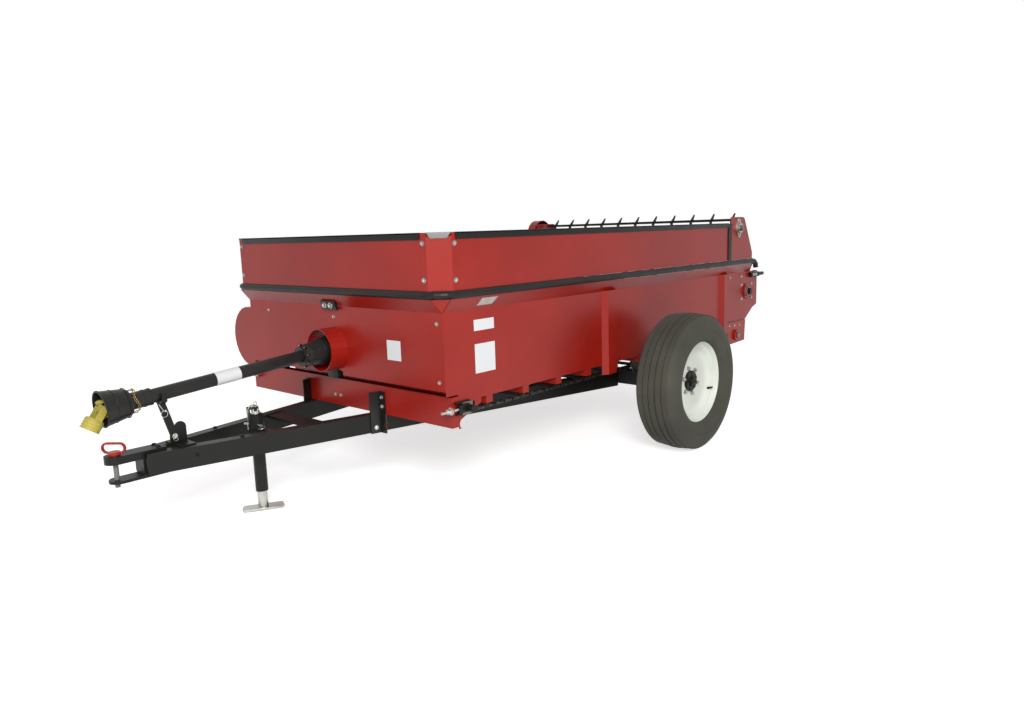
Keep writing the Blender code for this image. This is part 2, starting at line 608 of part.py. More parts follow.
def build_tongue():
    front, rear = TONGUE_FRONT_Y, TONGUE_REAR_Y

    def beam(label, sign):
        outline = [(sign * (tongue_x(y) - inset), y) for y, inset in
                   ((front, 0), (rear, 0), (rear, TONGUE_W), (front, TONGUE_W))]
        piece(f"tongue_beam_{label}", BLACK, [prism("XY", outline, TONGUE_BOTTOM, TONGUE_TOP)])
    both_sides(beam)
    half_front = tongue_x(BRACE_Y - BRACE_W / 2) - TONGUE_W - 2 * SEAT
    half_rear = tongue_x(BRACE_Y + BRACE_W / 2) - TONGUE_W - 2 * SEAT
    brace = [(-half_front, BRACE_Y - BRACE_W / 2), (half_front, BRACE_Y - BRACE_W / 2),
             (half_rear, BRACE_Y + BRACE_W / 2), (-half_rear, BRACE_Y + BRACE_W / 2)]
    piece("tongue_cross_brace", BLACK, [prism("XY", brace, TONGUE_TOP - BRACE_T - 0.004, TONGUE_TOP - 0.004)])

    def strap(nose_y, rear_y, low, high):
        nose = arc((0, nose_y), JAW_HALF, 180, 360, 12)
        return prism("XY", [(-JAW_HALF, rear_y)] + nose + [(JAW_HALF, rear_y)], low, high)
    upper = strap(HITCH_PIN_Y, JAW_REAR_Y, TONGUE_TOP + SEAT, UPPER_JAW[1])
    thick = strap(HITCH_PIN_Y, front - SEAT, UPPER_JAW[0], UPPER_JAW[1] - 0.001)
    lower = strap(HITCH_PIN_Y + LOWER_JAW_BACK, JAW_REAR_Y, TONGUE_BOTTOM - SEAT - JAW_T, TONGUE_BOTTOM - SEAT)
    spacer = block((-JAW_HALF + 0.001, front - 0.007, TONGUE_BOTTOM - 0.004),
                   (JAW_HALF - 0.001, front - SEAT, TONGUE_TOP + 0.004))
    hole = rod("Z", TONGUE_BOTTOM - 0.1, TONGUE_TOP + 0.1, bore(HITCH_PIN_R + 0.0004), (0, HITCH_PIN_Y))
    piece("hitch_clevis", BLACK, [upper, thick, lower, spacer], [hole])

    def stadium(inset):
        r = PIN_LOOP_RISE - inset
        x = PIN_LOOP_HALF - PIN_LOOP_RISE
        z = 0.006 + PIN_LOOP_RISE
        return arc((x, z), r, -90, 90, 8) + arc((-x, z), r, 90, 270, 8)
    pin = rod("Z", -0.125, 0.010, HITCH_PIN_R)
    head = rod("Z", SEAT, 0.014, 0.021)
    loop = prism("XZ", stadium(0), -PIN_LOOP_R, PIN_LOOP_R)
    gap = prism("XZ", stadium(2 * PIN_LOOP_R), -0.02, 0.02)
    turn = Matrix.Rotation(math.radians(38), 4, "Z")
    piece("hitch_pin", RED, [pin, moved(loop, turn), head], [moved(gap, turn)],
          origin=(0, HITCH_PIN_Y, UPPER_JAW[1]))


def build_jack():
    x, y = JACK_X, JACK_Y
    tube = rod("Z", JACK_BOTTOM, JACK_TOP, JACK_OUTER_R, (x, y))
    collar = rod("Z", TONGUE_TOP - 0.030, JACK_TOP - 0.004, JACK_OUTER_R + 0.006, (x, y))
    beam_face = tongue_x(y - 0.03) - TONGUE_W - SEAT
    pad = block((x, y - 0.030, TONGUE_TOP - 0.060), (beam_face - 0.0002, y + 0.030, TONGUE_TOP - 0.010))
    hollow = rod("Z", JACK_BOTTOM - 0.01, JACK_TOP - 0.014, bore(JACK_LEG_R), (x, y))
    cap = rod("Z", JACK_TOP - 0.010, JACK_TOP + 0.030, 0.014, (x, y))
    arm = block((x - 0.060, y - 0.007, JACK_TOP + 0.012), (x, y + 0.007, JACK_TOP + 0.020))
    handle = block((x - 0.066, y - 0.006, JACK_TOP - 0.060), (x - 0.058, y + 0.006, JACK_TOP + 0.020))
    piece("jack_tube", BLACK, [tube, collar, pad, cap, arm, handle], [hollow])
    leg = rod("Z", JACK_FOOT_T - 0.002, JACK_LEG_TOP, JACK_LEG_R)
    x_end, y_end, cut = JACK_FOOT_HALF, JACK_FOOT_W / 2, 0.012
    quarter = [(x_end, -y_end + cut), (x_end, y_end - cut), (x_end - cut, y_end)]
    outline = quarter + [(-x_end + cut, y_end)] + [(-a, -b) for a, b in quarter] + [(x_end - cut, -y_end)]
    foot = moved(prism("XY", outline, 0, JACK_FOOT_T), Matrix.Rotation(JACK_FOOT_TURN, 4, "Z"))
    piece("jack_leg", ZINC, [foot, leg], origin=(x, y, 0))


# ---- Driveline -------------------------------------------------------------------
def along_driveline(shape):
    """Turns a shape built along -Y from the joint so that it slopes down to the front."""
    return moved(shape, Matrix.Rotation(PTO_DOWN, 4, "X"))


def build_driveline():
    pivot = (0, PTO_PIVOT_Y, PTO_Z)
    shaft = rod("Y", PTO_PIVOT_Y, WALL_Y - SEAT, 0.0175, (0, PTO_Z))
    joint = rod("X", -0.024, 0.024, PIVOT_R, (PTO_PIVOT_Y, PTO_Z))
    bearing = rod("Y", WALL_Y - 0.040, WALL_Y - SEAT, 0.052, (0, PTO_Z))
    piece("input_shaft", STEEL, [shaft, joint, bearing])

    end = DRIVELINE_REAR_END
    bell = turned("Y", [(0.012, REAR_BELL_R), (0.012, REAR_BELL_R - 0.004), (-end + 0.030, REAR_BELL_SMALL_R - 0.006),
                        (-end + 0.030, 0.0), (-end, 0.0), (-end, REAR_BELL_SMALL_R - 0.006),
                        (-end + 0.026, REAR_BELL_SMALL_R)])
    core = rod("Y", -end - 0.500, -end + 0.006, CORE_R)
    socket_rod = rod("Y", -end + 0.006, -0.014, 0.0230)
    socket = rod("X", -0.030, 0.030, bore(PIVOT_R))
    piece("driveline_rear_guard", PLASTIC, [along_driveline(bell), along_driveline(core),
                                            along_driveline(socket_rod)], [socket], origin=pivot)

    tube_start = end + 0.004
    profile = [(-tube_start, CORE_R + 0.0006), (-DRIVELINE_BELL - 0.004, CORE_R + 0.0006),
               (-DRIVELINE_BELL - 0.004, BELL_REAR_R - 0.008), (-DRIVELINE_FRONT, BELL_FRONT_R - 0.004),
               (-DRIVELINE_FRONT, BELL_FRONT_R), (-DRIVELINE_BELL - 0.006, BELL_REAR_R),
               (-DRIVELINE_BELL, BELL_REAR_R - 0.008), (-DRIVELINE_BELL, COLLAR_R),
               (-DRIVELINE_COLLAR, COLLAR_R), (-DRIVELINE_COLLAR, TUBE_R), (-tube_start, TUBE_R)]
    piece("driveline_front_guard", PLASTIC, [along_driveline(turned("Y", profile))], origin=pivot)


def build_yokes():
    """Universal joint at the front: the inner yoke with its cross, and the outer yoke that hangs from it."""
    joint = (0, CROSS_Y, CROSS_Z)
    ear_out = EAR_IN + EAR_T
    back = DRIVELINE_BELL - CROSS_AT
    shank = rod("Y", -back - 0.016, -back + 0.060, CORE_R)
    hub = rod("Y", YOKE_BASE - 0.004, -back - 0.012, 0.030)
    ears = [block((-0.012, -0.012, low), (0.012, YOKE_BASE, high))
            for low, high in ((EAR_IN, ear_out), (-ear_out, -EAR_IN))]
    cross = [rod("X", -0.0295, 0.0295, CROSS_PIN_R), rod("Z", -EAR_IN - 0.002, EAR_IN + 0.002, CROSS_PIN_R),
             block((-0.012, -0.0115, -0.0125), (0.012, 0.0115, 0.0125))]
    piece("driveline_inner_yoke", YELLOW, [along_driveline(shape) for shape in [hub, shank] + ears + cross],
          origin=joint)

    hang = Matrix.Rotation(YOKE_DOWN, 4, "X")
    ring = turned("Y", [(-YOKE_BASE, YOKE_BORE_R), (-YOKE_BASE, YOKE_RING_R - 0.003), (-YOKE_BASE - 0.006, YOKE_RING_R),
                        (-YOKE_END, YOKE_RING_R), (-YOKE_END, YOKE_BORE_R)])
    ears = [block((low, -YOKE_BASE - 0.004, -0.013), (high, 0.013, 0.013))
            for low, high in ((EAR_IN + 0.001, ear_out), (-ear_out, -EAR_IN - 0.001))]
    pin_bore = rod("X", -0.05, 0.05, bore(CROSS_PIN_R))
    piece("driveline_outer_yoke", YELLOW, [moved(shape, hang) for shape in [ring] + ears], [pin_bore],
          origin=joint)


def build_holder():
    """Folding holder of the parked driveline: a flat bar with a cradle, hinged on a lug."""
    y, z = HOLDER_Y, TONGUE_TOP + HOLDER_PIVOT_RISE
    base = block((-0.066, y - 0.010, TONGUE_TOP + SEAT), (0.066, y + 0.055, TONGUE_TOP + 0.006))
    crest = arc((y + 0.030, TONGUE_TOP + 0.065), 0.023, 0, 180, 8)
    lug = prism("YZ", [(y + 0.053, TONGUE_TOP + 0.003), *crest, (y - 0.014, z), (y - 0.014, TONGUE_TOP + 0.003)],
                -0.0125, -0.0055)
    pin = rod("X", -0.012, 0.010, HOLDER_PIN_R, (y, z))
    foot = block((-0.012, y - 0.014, TONGUE_TOP + 0.002), (-0.0056, y - 0.004, TONGUE_TOP + 0.020))
    piece("driveline_holder_lug", BLACK, [base, lug, foot, pin])

    lean = HOLDER_LEAN
    distance = (PTO_PIVOT_Y - y + lean) / math.cos(PTO_DOWN)
    tube_z = PTO_Z - distance * math.sin(PTO_DOWN) - z
    rest_r = (TUBE_R if distance < DRIVELINE_COLLAR else COLLAR_R) + CRADLE_GAP
    mouth_r = max(rest_r, COLLAR_R + CRADLE_GAP)        # the lips pass the collar as the holder folds
    top = tube_z - rest_r - 0.002
    bar = prism("YZ", [(-0.015, 0), (0.015, 0), (0.015 - lean, top), (-0.015 - lean, top)], -0.0035, 0.0045)
    eye = rod("X", -0.0034, 0.0044, 0.0155)
    wide, base = mouth_r + CRADLE_WALL, tube_z - rest_r - CRADLE_WALL
    cradle = prism("XZ", [(-wide, tube_z + 0.012), (-wide, base + 0.010), (-wide + 0.020, base),
                          (wide - 0.020, base), (wide, base + 0.010), (wide, tube_z + 0.012)],
                   -CRADLE_HALF - lean, CRADLE_HALF - lean)
    seat = rod("Y", -0.1 - lean, 0.1, rest_r, (0, tube_z), BIG_ROUND)
    mouth = block((-mouth_r, -0.1, tube_z - 0.7 * rest_r), (mouth_r, 0.1, tube_z + 0.2))
    pin_bore = rod("X", -0.05, 0.05, bore(HOLDER_PIN_R))
    piece("driveline_holder", BLACK, [bar, eye, cradle], [seat, mouth, pin_bore], origin=(0, y, z))


# ---- Axle and wheels -------------------------------------------------------------
def build_axle():
    half = AXLE_TUBE / 2
    tube_end = BOX_HALF + 0.065
    shapes = [block((-tube_end, WHEEL_Y - half, AXLE_Z - half), (tube_end, WHEEL_Y + half, AXLE_Z + half))]
    for sign in (1, -1):
        a, b = span(sign * (tube_end - 0.05), sign * SPINDLE_END)
        shapes.append(rod("X", a, b, SPINDLE_R, (WHEEL_Y, WHEEL_R)))
        first = CROSS_FIRST_Y + round((WHEEL_Y - 0.06 - CROSS_FIRST_Y) / CROSS_STEP) * CROSS_STEP
        top = CROSS_BOTTOM - SEAT
        outline = [(first - 0.030, top), (first - 0.030, top - 0.016), (WHEEL_Y - half + 0.004, AXLE_TOP - 0.010),
                   (WHEEL_Y + half - 0.004, AXLE_TOP - 0.010), (first + CROSS_STEP + 0.030, top - 0.016),
                   (first + CROSS_STEP + 0.030, top)]
        shapes.append(side_prism(sign, outline, HANGER_X, HANGER_X + HANGER_T))
    piece("axle", BLACK, shapes)


def build_wheel(label, sign):
    place = (sign * (WHEEL_OUT - TYRE_W / 2), WHEEL_Y, WHEEL_R)
    half = TYRE_W / 2
    r, bead = WHEEL_R, RIM_R
    side = [(half - 0.035, bead - 0.006), (half - 0.014, bead + 0.012), (half, (r + bead) / 2),
            (half - 0.008, r - 0.036), (half - 0.026, r - 0.010), (half - 0.060, r)]
    tyre = side + [(-a, b) for a, b in reversed(side)]
    piece(f"tyre_{label}", RUBBER, [turned("X", tyre, sides=WHEEL_SIDES)], origin=place)

    seat = bead - 0.006 - SEAT
    edge, disc_in, disc_out = half - 0.036, DISC_X - 0.004, DISC_X + 0.004
    rim = [(-edge, seat), (-edge, seat - 0.018), (-0.030, seat - 0.034), (disc_in - 0.008, DISC_R + 0.016),
           (disc_in, DISC_R), (disc_in, RIM_BORE), (disc_out, RIM_BORE), (disc_out, DISC_R - 0.003),
           (disc_out + 0.008, DISC_R + 0.012), (0.045, seat - 0.022), (edge, seat - 0.012), (edge, seat)]
    rim = [(sign * a, b) for a, b in rim]
    piece(f"rim_{label}", WHITE, [turned("X", rim, sides=WHEEL_SIDES)], origin=place)

    middle = WHEEL_OUT - TYRE_W / 2

    def across(start, end, radius):
        a, b = span(sign * start, sign * end)
        return rod("X", a, b, radius)
    barrel = across(HUB_IN - middle, disc_out + 0.002, 0.040)
    flange = across(disc_in - 0.014 - SEAT, disc_in - SEAT, 0.092)
    pilot = across(disc_in - 0.010, disc_out + 0.012, RIM_BORE - 0.0007)
    cap = across(disc_out, disc_out + 0.020, 0.026)
    hole = across(HUB_IN - middle - 0.02, SPINDLE_END - middle + 0.003, bore(SPINDLE_R))
    piece(f"hub_{label}", BLACK, [barrel, flange, pilot, cap], [hole], origin=place)


# ---- Apron -----------------------------------------------------------------------
def loop_outline(radius):
    rear = arc((DRIVE_Y, LOOP_Z), radius, -90, 90, 8)
    front = arc((IDLER_Y, LOOP_Z), radius, 90, 270, 8)
    return rear + front


def build_apron():
    shapes, cuts = [], []
    for sign in (1, -1):
        a, b = span(sign * (CHAIN_X - CHAIN_W / 2), sign * (CHAIN_X + CHAIN_W / 2))
        shapes.append(prism("YZ", loop_outline(LOOP_R + CHAIN_T / 2), a, b))
        cuts.append(prism("YZ", loop_outline(LOOP_R - CHAIN_T / 2), a - 0.01, b + 0.01))
    count = int((DRIVE_Y - IDLER_Y) / SLAT_PITCH)
    first = (IDLER_Y + DRIVE_Y - (count - 1) * SLAT_PITCH) / 2
    for i in range(count):
        y = first + i * SLAT_PITCH
        for z in (LOOP_Z + LOOP_R, LOOP_Z - LOOP_R):
            shapes.append(block((-CHAIN_X, y - SLAT_W / 2, z - CHAIN_T / 2 + 0.001),
                                (CHAIN_X, y + SLAT_W / 2, z + CHAIN_T / 2 + 0.003)))
    piece("apron", BLACK, [shapes[0]] + shapes[2:] + [shapes[1]], cuts)


def build_apron_shafts():
    def discs(y):
        return [rod("X", *span(sign * (CHAIN_X - 0.008), sign * (CHAIN_X + 0.008)), SPROCKET_R, (y, LOOP_Z))
                for sign in (1, -1)]
    reach = BOX_HALF + 0.012
    slider_out = BOX_HALF + 0.018
    sliders = []
    for sign in (1, -1):
        sliders.append(side_block(sign, INNER_HALF - 0.012, slider_out,
                                  (IDLER_Y - SLIDER_HALF_Y, LOOP_Z - SLIDER_HALF_Z),
                                  (IDLER_Y + SLIDER_HALF_Y, LOOP_Z + SLIDER_HALF_Z)))
        sliders.append(side_block(sign, BOX_HALF + SEAT, slider_out - 0.001,
                                  (IDLER_Y - SLIDER_HALF_Y - 0.006, LOOP_Z - SLIDER_HALF_Z - SLIDER_FLANGE),
                                  (IDLER_Y + SLIDER_HALF_Y + 0.006, LOOP_Z + SLIDER_HALF_Z + SLIDER_FLANGE)))
    piece("apron_front_shaft", STEEL, [rod("X", -reach, reach, APRON_SHAFT_R, (IDLER_Y, LOOP_Z))]
          + discs(IDLER_Y) + sliders)
    outer = BOX_HALF + 0.030
    piece("apron_rear_shaft", STEEL, [rod("X", -outer, outer, APRON_SHAFT_R, (DRIVE_Y, LOOP_Z))]
          + discs(DRIVE_Y))


# ---- Beaters ---------------------------------------------------------------------
def build_beaters():
    plates = []
    paddle_x = 0.640
    count = 8
    for i in range(count):
        x = -paddle_x + 2 * paddle_x * i / (count - 1)
        for k in range(3):
            turn = math.radians(360 * k / 3 + 40 * i)
            blade = block((x - 0.004, -0.024, LOWER_TUBE_R - 0.006), (x + 0.004, 0.024, LOWER_TIP_R - 0.001))
            plates.append(moved(blade, Matrix.Rotation(turn, 4, "X")))
    half = INNER_HALF - 0.020
    tube = rod("X", -half, half, LOWER_TUBE_R, sides=ROUND)
    left_end = BOX_HALF + 0.024
    right_end = CASE_IN - CASE_DEPTH + CASE_WALL + 0.012
    shaft = rod("X", right_end, left_end, LOWER_SHAFT_R)
    sprocket = rod("X", CASE_IN - 0.040, CASE_IN - 0.028, 0.070)
    piece("lower_beater", BLACK, [tube, shaft, sprocket] + plates, origin=(0, LOWER_Y, LOWER_Z))

    shapes = []
    reach = EXT_X - 0.030
    shapes.append(rod("X", right_end, EXT_X + 0.022, UPPER_SHAFT_R))
    tooth = [(-0.012, UPPER_BAR_R - 0.004), (0.022, UPPER_BAR_R - 0.004), (TOOTH_LEAN, TOOTH_RISE),
             (TOOTH_LEAN - 0.006, TOOTH_RISE - 0.001)]
    for side in (1, -1):
        shapes.append(block((-reach, -0.010, side * UPPER_BAR_R - 0.008), (reach, 0.010, side * UPPER_BAR_R + 0.008)))
    for i in range(TEETH):
        x = TEETH_X + (i - (TEETH - 1) / 2) * TOOTH_PITCH
        shapes.append(block((x - 0.004, -0.012, -UPPER_BAR_R), (x + 0.004, 0.012, UPPER_BAR_R)))
        for side in (1, -1):
            shapes.append(prism("YZ", [(side * a, side * b) for a, b in tooth], x - 0.0045, x + 0.0045))
    shapes.append(rod("X", CASE_IN - 0.040, CASE_IN - 0.028, 0.058))
    piece("upper_beater", BLACK, shapes, origin=(0, UPPER_Y, UPPER_Z))


def build_beater_plates():
    def side(label, sign):
        front = EXT_REAR_Y + UPRIGHT_W + 2 * SEAT
        slant = [(2.590, 1.214), (2.609, 1.208), (2.622, 1.194), (2.732, 0.985), (2.732, EXT_BOTTOM)]
        outline = [(front, EXT_BOTTOM), (front, 1.214)] + slant
        plate = side_prism(sign, outline, EXT_X - EXT_SHEET, EXT_X)
        hub = side_prism(sign, disc((UPPER_Y, UPPER_Z), 0.032), EXT_X - 0.001, EXT_X + 0.016)
        inside = [(2.728, EXT_BOTTOM), (2.728, 0.984), (2.6185, 1.192), (2.607, 1.2045), (2.590, 1.210)]
        flange_outline = slant + inside
        flange = side_prism(sign, flange_outline, EXT_X - 0.030, EXT_X - 0.0005)
        a, b = span(sign * (EXT_X - 0.02), sign * (EXT_X + 0.04))
        hole = rod("X", a, b, bore(UPPER_SHAFT_R), (UPPER_Y, UPPER_Z))
        piece(f"upper_beater_plate_{label}", RED, [plate, flange, hub], [hole])
    both_sides(side)


def capsule(a, b, radius, steps=10):
    """Outline around two points in a plane."""
    angle = math.degrees(math.atan2(b[1] - a[1], b[0] - a[0]))
    return arc(b, radius, angle - 90, angle + 90, steps) + arc(a, radius, angle + 90, angle + 270, steps)


def build_chain_case():
    low, high = (LOWER_Y, LOWER_Z), (UPPER_Y, UPPER_Z)
    outer = prism("YZ", capsule(low, high, CASE_R), CASE_IN - CASE_DEPTH, CASE_IN)
    inner = prism("YZ", capsule(low, high, CASE_R - CASE_WALL), CASE_IN - CASE_DEPTH + CASE_WALL, CASE_IN + 0.02)
    low, high = Vector(low), Vector(high)
    along = (high - low).normalized()
    across = Vector((-along.y, along.x))
    tabs = []
    for share, side, carrier_x in ((0.75, 1, EXT_X), (0.1, 1, BOX_HALF), (0.1, -1, BOX_HALF)):
        y, z = low.lerp(high, share) + across * side * (CASE_R - 0.004)
        tabs.append(block((CASE_IN - 0.015, y - 0.008, z - 0.008), (-(carrier_x + SEAT), y + 0.008, z + 0.008)))
    piece("beater_chain_case", RED, [outer] + tabs, [inner])
    box_low = (CASE_IN + 0.020, SIDE_GUARD_END_Y + SEAT, PTO_Z - 0.060)
    box_high = (-BOX_HALF - SEAT, SIDE_GUARD_END_Y + 0.150, PTO_Z + 0.060)
    piece("rear_gearbox", STEEL, [block((min(box_low[0], -0.86), box_low[1], box_low[2]), box_high)],
          [block((-BOX_HALF - POST_OUT - SEAT, REAR_POST_Y[0] - 0.02, PTO_Z - 0.2),
                 (-BOX_HALF + 0.02, REAR_POST_Y[1] + SEAT, PTO_Z + 0.2))])


def main():
    global MACHINE, RED, RED_POST, BLACK, WOOD, STEEL, ZINC, PLASTIC, YELLOW, RUBBER, WHITE
    for item in list(bpy.data.objects):
        bpy.data.objects.remove(item)
    RED = paint("red_enamel", (0.310, 0.030, 0.022), 0.35)
    RED_POST = paint("red_enamel_post", (0.340, 0.040, 0.030), 0.35)
    BLACK = paint("black_enamel", (0.018, 0.017, 0.015), 0.45)
    WOOD = paint("floor_boards", (0.200, 0.120, 0.060), 0.80)
    STEEL = paint("bare_steel", (0.350, 0.340, 0.330), 0.40, 1.0)
    ZINC = paint("zinc_plate", (0.600, 0.590, 0.560), 0.35, 1.0)
    PLASTIC = paint("black_plastic", (0.022, 0.022, 0.021), 0.50)
    YELLOW = paint("yoke_yellow", (0.520, 0.430, 0.080), 0.50)
    RUBBER = paint("tyre_rubber", (0.080, 0.076, 0.062), 0.85)
    WHITE = paint("wheel_white", (0.830, 0.860, 0.790), 0.35)
    MACHINE = bpy.data.objects.new("machine", None)
    MACHINE.location = (0, -CENTRE_Y, 0)
    bpy.context.scene.collection.objects.link(MACHINE)
    both_sides(build_side)
    build_front_panel()
    build_drive_guard()
    build_front_wall()
    build_floor()
    build_sill()
    build_rail()
    build_extension()
    build_tongue()
    build_jack()
    build_driveline()
    build_yokes()
    build_holder()
    build_axle()
    both_sides(build_wheel)
    build_apron()
    build_apron_shafts()
    build_beaters()
    build_beater_plates()
    build_chain_case()


main()
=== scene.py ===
"""Looks of the box manure spreader: finishes, bolts, tread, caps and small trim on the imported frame.

Metres, +Z up.  The tongue points to -Y and the machine's left side is +X.
"""
import json
import math

import bmesh
import bpy
from mathutils import Matrix, Vector


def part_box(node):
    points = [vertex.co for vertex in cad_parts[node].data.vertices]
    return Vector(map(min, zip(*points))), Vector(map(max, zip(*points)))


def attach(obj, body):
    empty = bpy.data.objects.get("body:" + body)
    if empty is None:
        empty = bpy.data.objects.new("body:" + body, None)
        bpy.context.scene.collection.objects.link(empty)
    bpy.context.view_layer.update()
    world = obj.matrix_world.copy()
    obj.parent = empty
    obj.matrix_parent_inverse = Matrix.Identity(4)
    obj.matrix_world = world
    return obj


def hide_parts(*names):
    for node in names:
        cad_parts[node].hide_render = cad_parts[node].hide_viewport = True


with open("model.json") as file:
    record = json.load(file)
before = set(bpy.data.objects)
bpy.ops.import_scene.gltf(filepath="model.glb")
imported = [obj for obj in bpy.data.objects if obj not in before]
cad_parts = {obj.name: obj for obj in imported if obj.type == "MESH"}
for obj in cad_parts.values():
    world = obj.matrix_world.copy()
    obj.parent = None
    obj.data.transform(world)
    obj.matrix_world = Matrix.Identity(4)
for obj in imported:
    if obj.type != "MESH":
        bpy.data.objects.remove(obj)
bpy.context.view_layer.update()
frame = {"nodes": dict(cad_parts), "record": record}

MM = 0.001
BOX_HALF = 0.745            # half the width over the side sheets
BOX_LENGTH = 2.911          # front panel's face to the rear edge of the side sheets
SILL_FACE = 0.030           # the sill stands this far behind the front panel's face
FLARE_OUT = 0.049           # the flare's top edge stands this far outside the side sheet
FLARE_LOW, FLARE_RISE = 0.856, 0.057
PLATE_SKIN = 0.0009         # thickness of a blank plate
LOWER_AXIS = (2.749, 0.728)  # y and z of each beater's shaft
UPPER_AXIS = (2.524, 1.145)
JACK_AT = (0.0, -0.430)
HOLDER_HINGE = (-0.785, 0.4097)
FRONT_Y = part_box("box_side_left")[1][1] - BOX_LENGTH     # world Y of the front panel's face


def at(x, y, z):
    """Point measured from the front panel's face, the middle plane and the ground."""
    return Vector((x, FRONT_Y + y, z))


# ---- Node helpers ----------------------------------------------------------------
def srgb(code):
    """Hex sRGB colour as linear RGBA."""
    parts = [int(code[i:i + 2], 16) / 255 for i in (0, 2, 4)]
    return tuple(c / 12.92 if c <= 0.04045 else ((c + 0.055) / 1.055) ** 2.4 for c in parts) + (1.0,)


def add(tree, kind, inputs=(), links=(), **settings):
    """Adds a node, sets its values and inputs, and links outputs into it."""
    node = tree.nodes.new(kind)
    for key, value in settings.items():
        setattr(node, key, value)
    for key, value in inputs:
        node.inputs[key].default_value = value
    for key, source in links:
        tree.links.new(source, node.inputs[key])
    return node


def noise(tree, scale, detail=3.0, stretch=(1, 1, 1)):
    """Noise in object space; scale is in cells for each metre."""
    where = add(tree, "ShaderNodeTexCoord").outputs["Object"]
    mapped = add(tree, "ShaderNodeMapping", [("Scale", stretch)], [("Vector", where)])
    return add(tree, "ShaderNodeTexNoise", [("Scale", scale), ("Detail", detail)],
               [("Vector", mapped.outputs[0])]).outputs["Fac"]


def ramp(tree, source, stops):
    """Colour ramp from (position, hex) stops."""
    node = add(tree, "ShaderNodeValToRGB", links=[("Fac", source)])
    elements = node.color_ramp.elements
    while len(elements) < len(stops):
        elements.new(0.5)
    for element, (position, code) in zip(elements, stops):
        element.position = position
        element.color = srgb(code)
    return node.outputs["Color"]


def between(tree, source, low, high):
    """Maps a 0-1 value to a range."""
    return add(tree, "ShaderNodeMapRange", [("To Min", low), ("To Max", high)],
               [("Value", source)]).outputs["Result"]


def surface(name, metallic=0.0, ior=None):
    """Empty material with its tree and shader."""
    material = bpy.data.materials.new(name)
    material.use_nodes = True
    shader = material.node_tree.nodes["Principled BSDF"]
    shader.inputs["Metallic"].default_value = metallic
    if ior:
        shader.inputs["IOR"].default_value = ior
    return material, material.node_tree, shader


def bump(tree, shader, height, distance, strength=1.0):
    """Roughens a shader's normal by a height value."""
    node = add(tree, "ShaderNodeBump", [("Strength", strength), ("Distance", distance)],
               [("Height", height)])
    tree.links.new(node.outputs["Normal"], shader.inputs["Normal"])


# ---- Materials -------------------------------------------------------------------
def sprayed_enamel(name, dark, main, worn, roughness, ior=1.40):
    """Alkyd enamel sprayed on sheet steel: slow shifts of tone, a film of dust, faint orange peel."""
    material, tree, shader = surface(name, ior=ior)
    cloud = noise(tree, 2.2, 4.0)
    tree.links.new(ramp(tree, cloud, [(0.30, dark), (0.55, main), (0.85, worn)]), shader.inputs["Base Color"])
    tree.links.new(between(tree, noise(tree, 9.0, 5.0), *roughness), shader.inputs["Roughness"])
    bump(tree, shader, noise(tree, 260.0, 2.0), 0.25 * MM, 0.25)
    return material


def planks():
    """Treated softwood boards, 140 mm wide, laid lengthways: grain runs along Y."""
    material, tree, shader = surface("pressure_treated_pine", ior=1.45)
    grain = noise(tree, 30.0, 6.0, (1.0, 0.05, 1.0))
    tree.links.new(ramp(tree, grain, [(0.3, "5A4632"), (0.6, "84684A"), (0.8, "9C8260")]),
                   shader.inputs["Base Color"])
    shader.inputs["Roughness"].default_value = 0.8
    bump(tree, shader, grain, 1.0 * MM, 0.4)
    return material


def bare_metal(name, tones, roughness, scale=18.0):
    """Machined or plated steel with faint clouding."""
    material, tree, shader = surface(name, metallic=1.0)
    cloud = noise(tree, scale, 4.0)
    tree.links.new(ramp(tree, cloud, [(0.3, tones[0]), (0.7, tones[1])]), shader.inputs["Base Color"])
    tree.links.new(between(tree, cloud, *roughness), shader.inputs["Roughness"])
    return material


def moulded_plastic():
    """Injection-moulded polyethylene guard: fine matte grain, a waxy shine."""
    material, tree, shader = surface("moulded_polyethylene", ior=1.38)
    tree.links.new(ramp(tree, noise(tree, 14.0), [(0.3, "131211"), (0.7, "1E1D1B")]),
                   shader.inputs["Base Color"])
    shader.inputs["Roughness"].default_value = 0.42
    bump(tree, shader, noise(tree, 500.0, 2.0), 0.2 * MM, 0.3)
    return material


def tyre_rubber():
    """Cured rubber dulled by road dust: the dust is browner in patches."""
    material, tree, shader = surface("dusty_tyre_rubber", ior=1.5)
    dust = noise(tree, 4.0, 6.0)
    tree.links.new(ramp(tree, dust, [(0.30, "3D3C34"), (0.60, "4A4940"), (0.85, "5A574A")]),
                   shader.inputs["Base Color"])
    shader.inputs["Roughness"].default_value = 0.88
    bump(tree, shader, noise(tree, 220.0, 3.0), 0.4 * MM, 0.5)
    return material


def bracket_black(material):
    """The sill's bolted brackets stand in front of its face and are sprayed black."""
    tree = material.node_tree
    shader = tree.nodes["Principled BSDF"]
    red = shader.inputs["Base Color"].links[0].from_socket
    along = add(tree, "ShaderNodeSeparateXYZ",
                links=[("Vector", add(tree, "ShaderNodeTexCoord").outputs["Object"])]).outputs["Y"]
    in_front = add(tree, "ShaderNodeMath", [(1, FRONT_Y + SILL_FACE - 0.0004)], [(0, along)],
                   operation="LESS_THAN").outputs[0]
    mix = add(tree, "ShaderNodeMix", [("B", srgb("151513"))], [("Factor", in_front), ("A", red)],
              data_type="RGBA")
    tree.links.new(mix.outputs["Result"], shader.inputs["Base Color"])
    return material


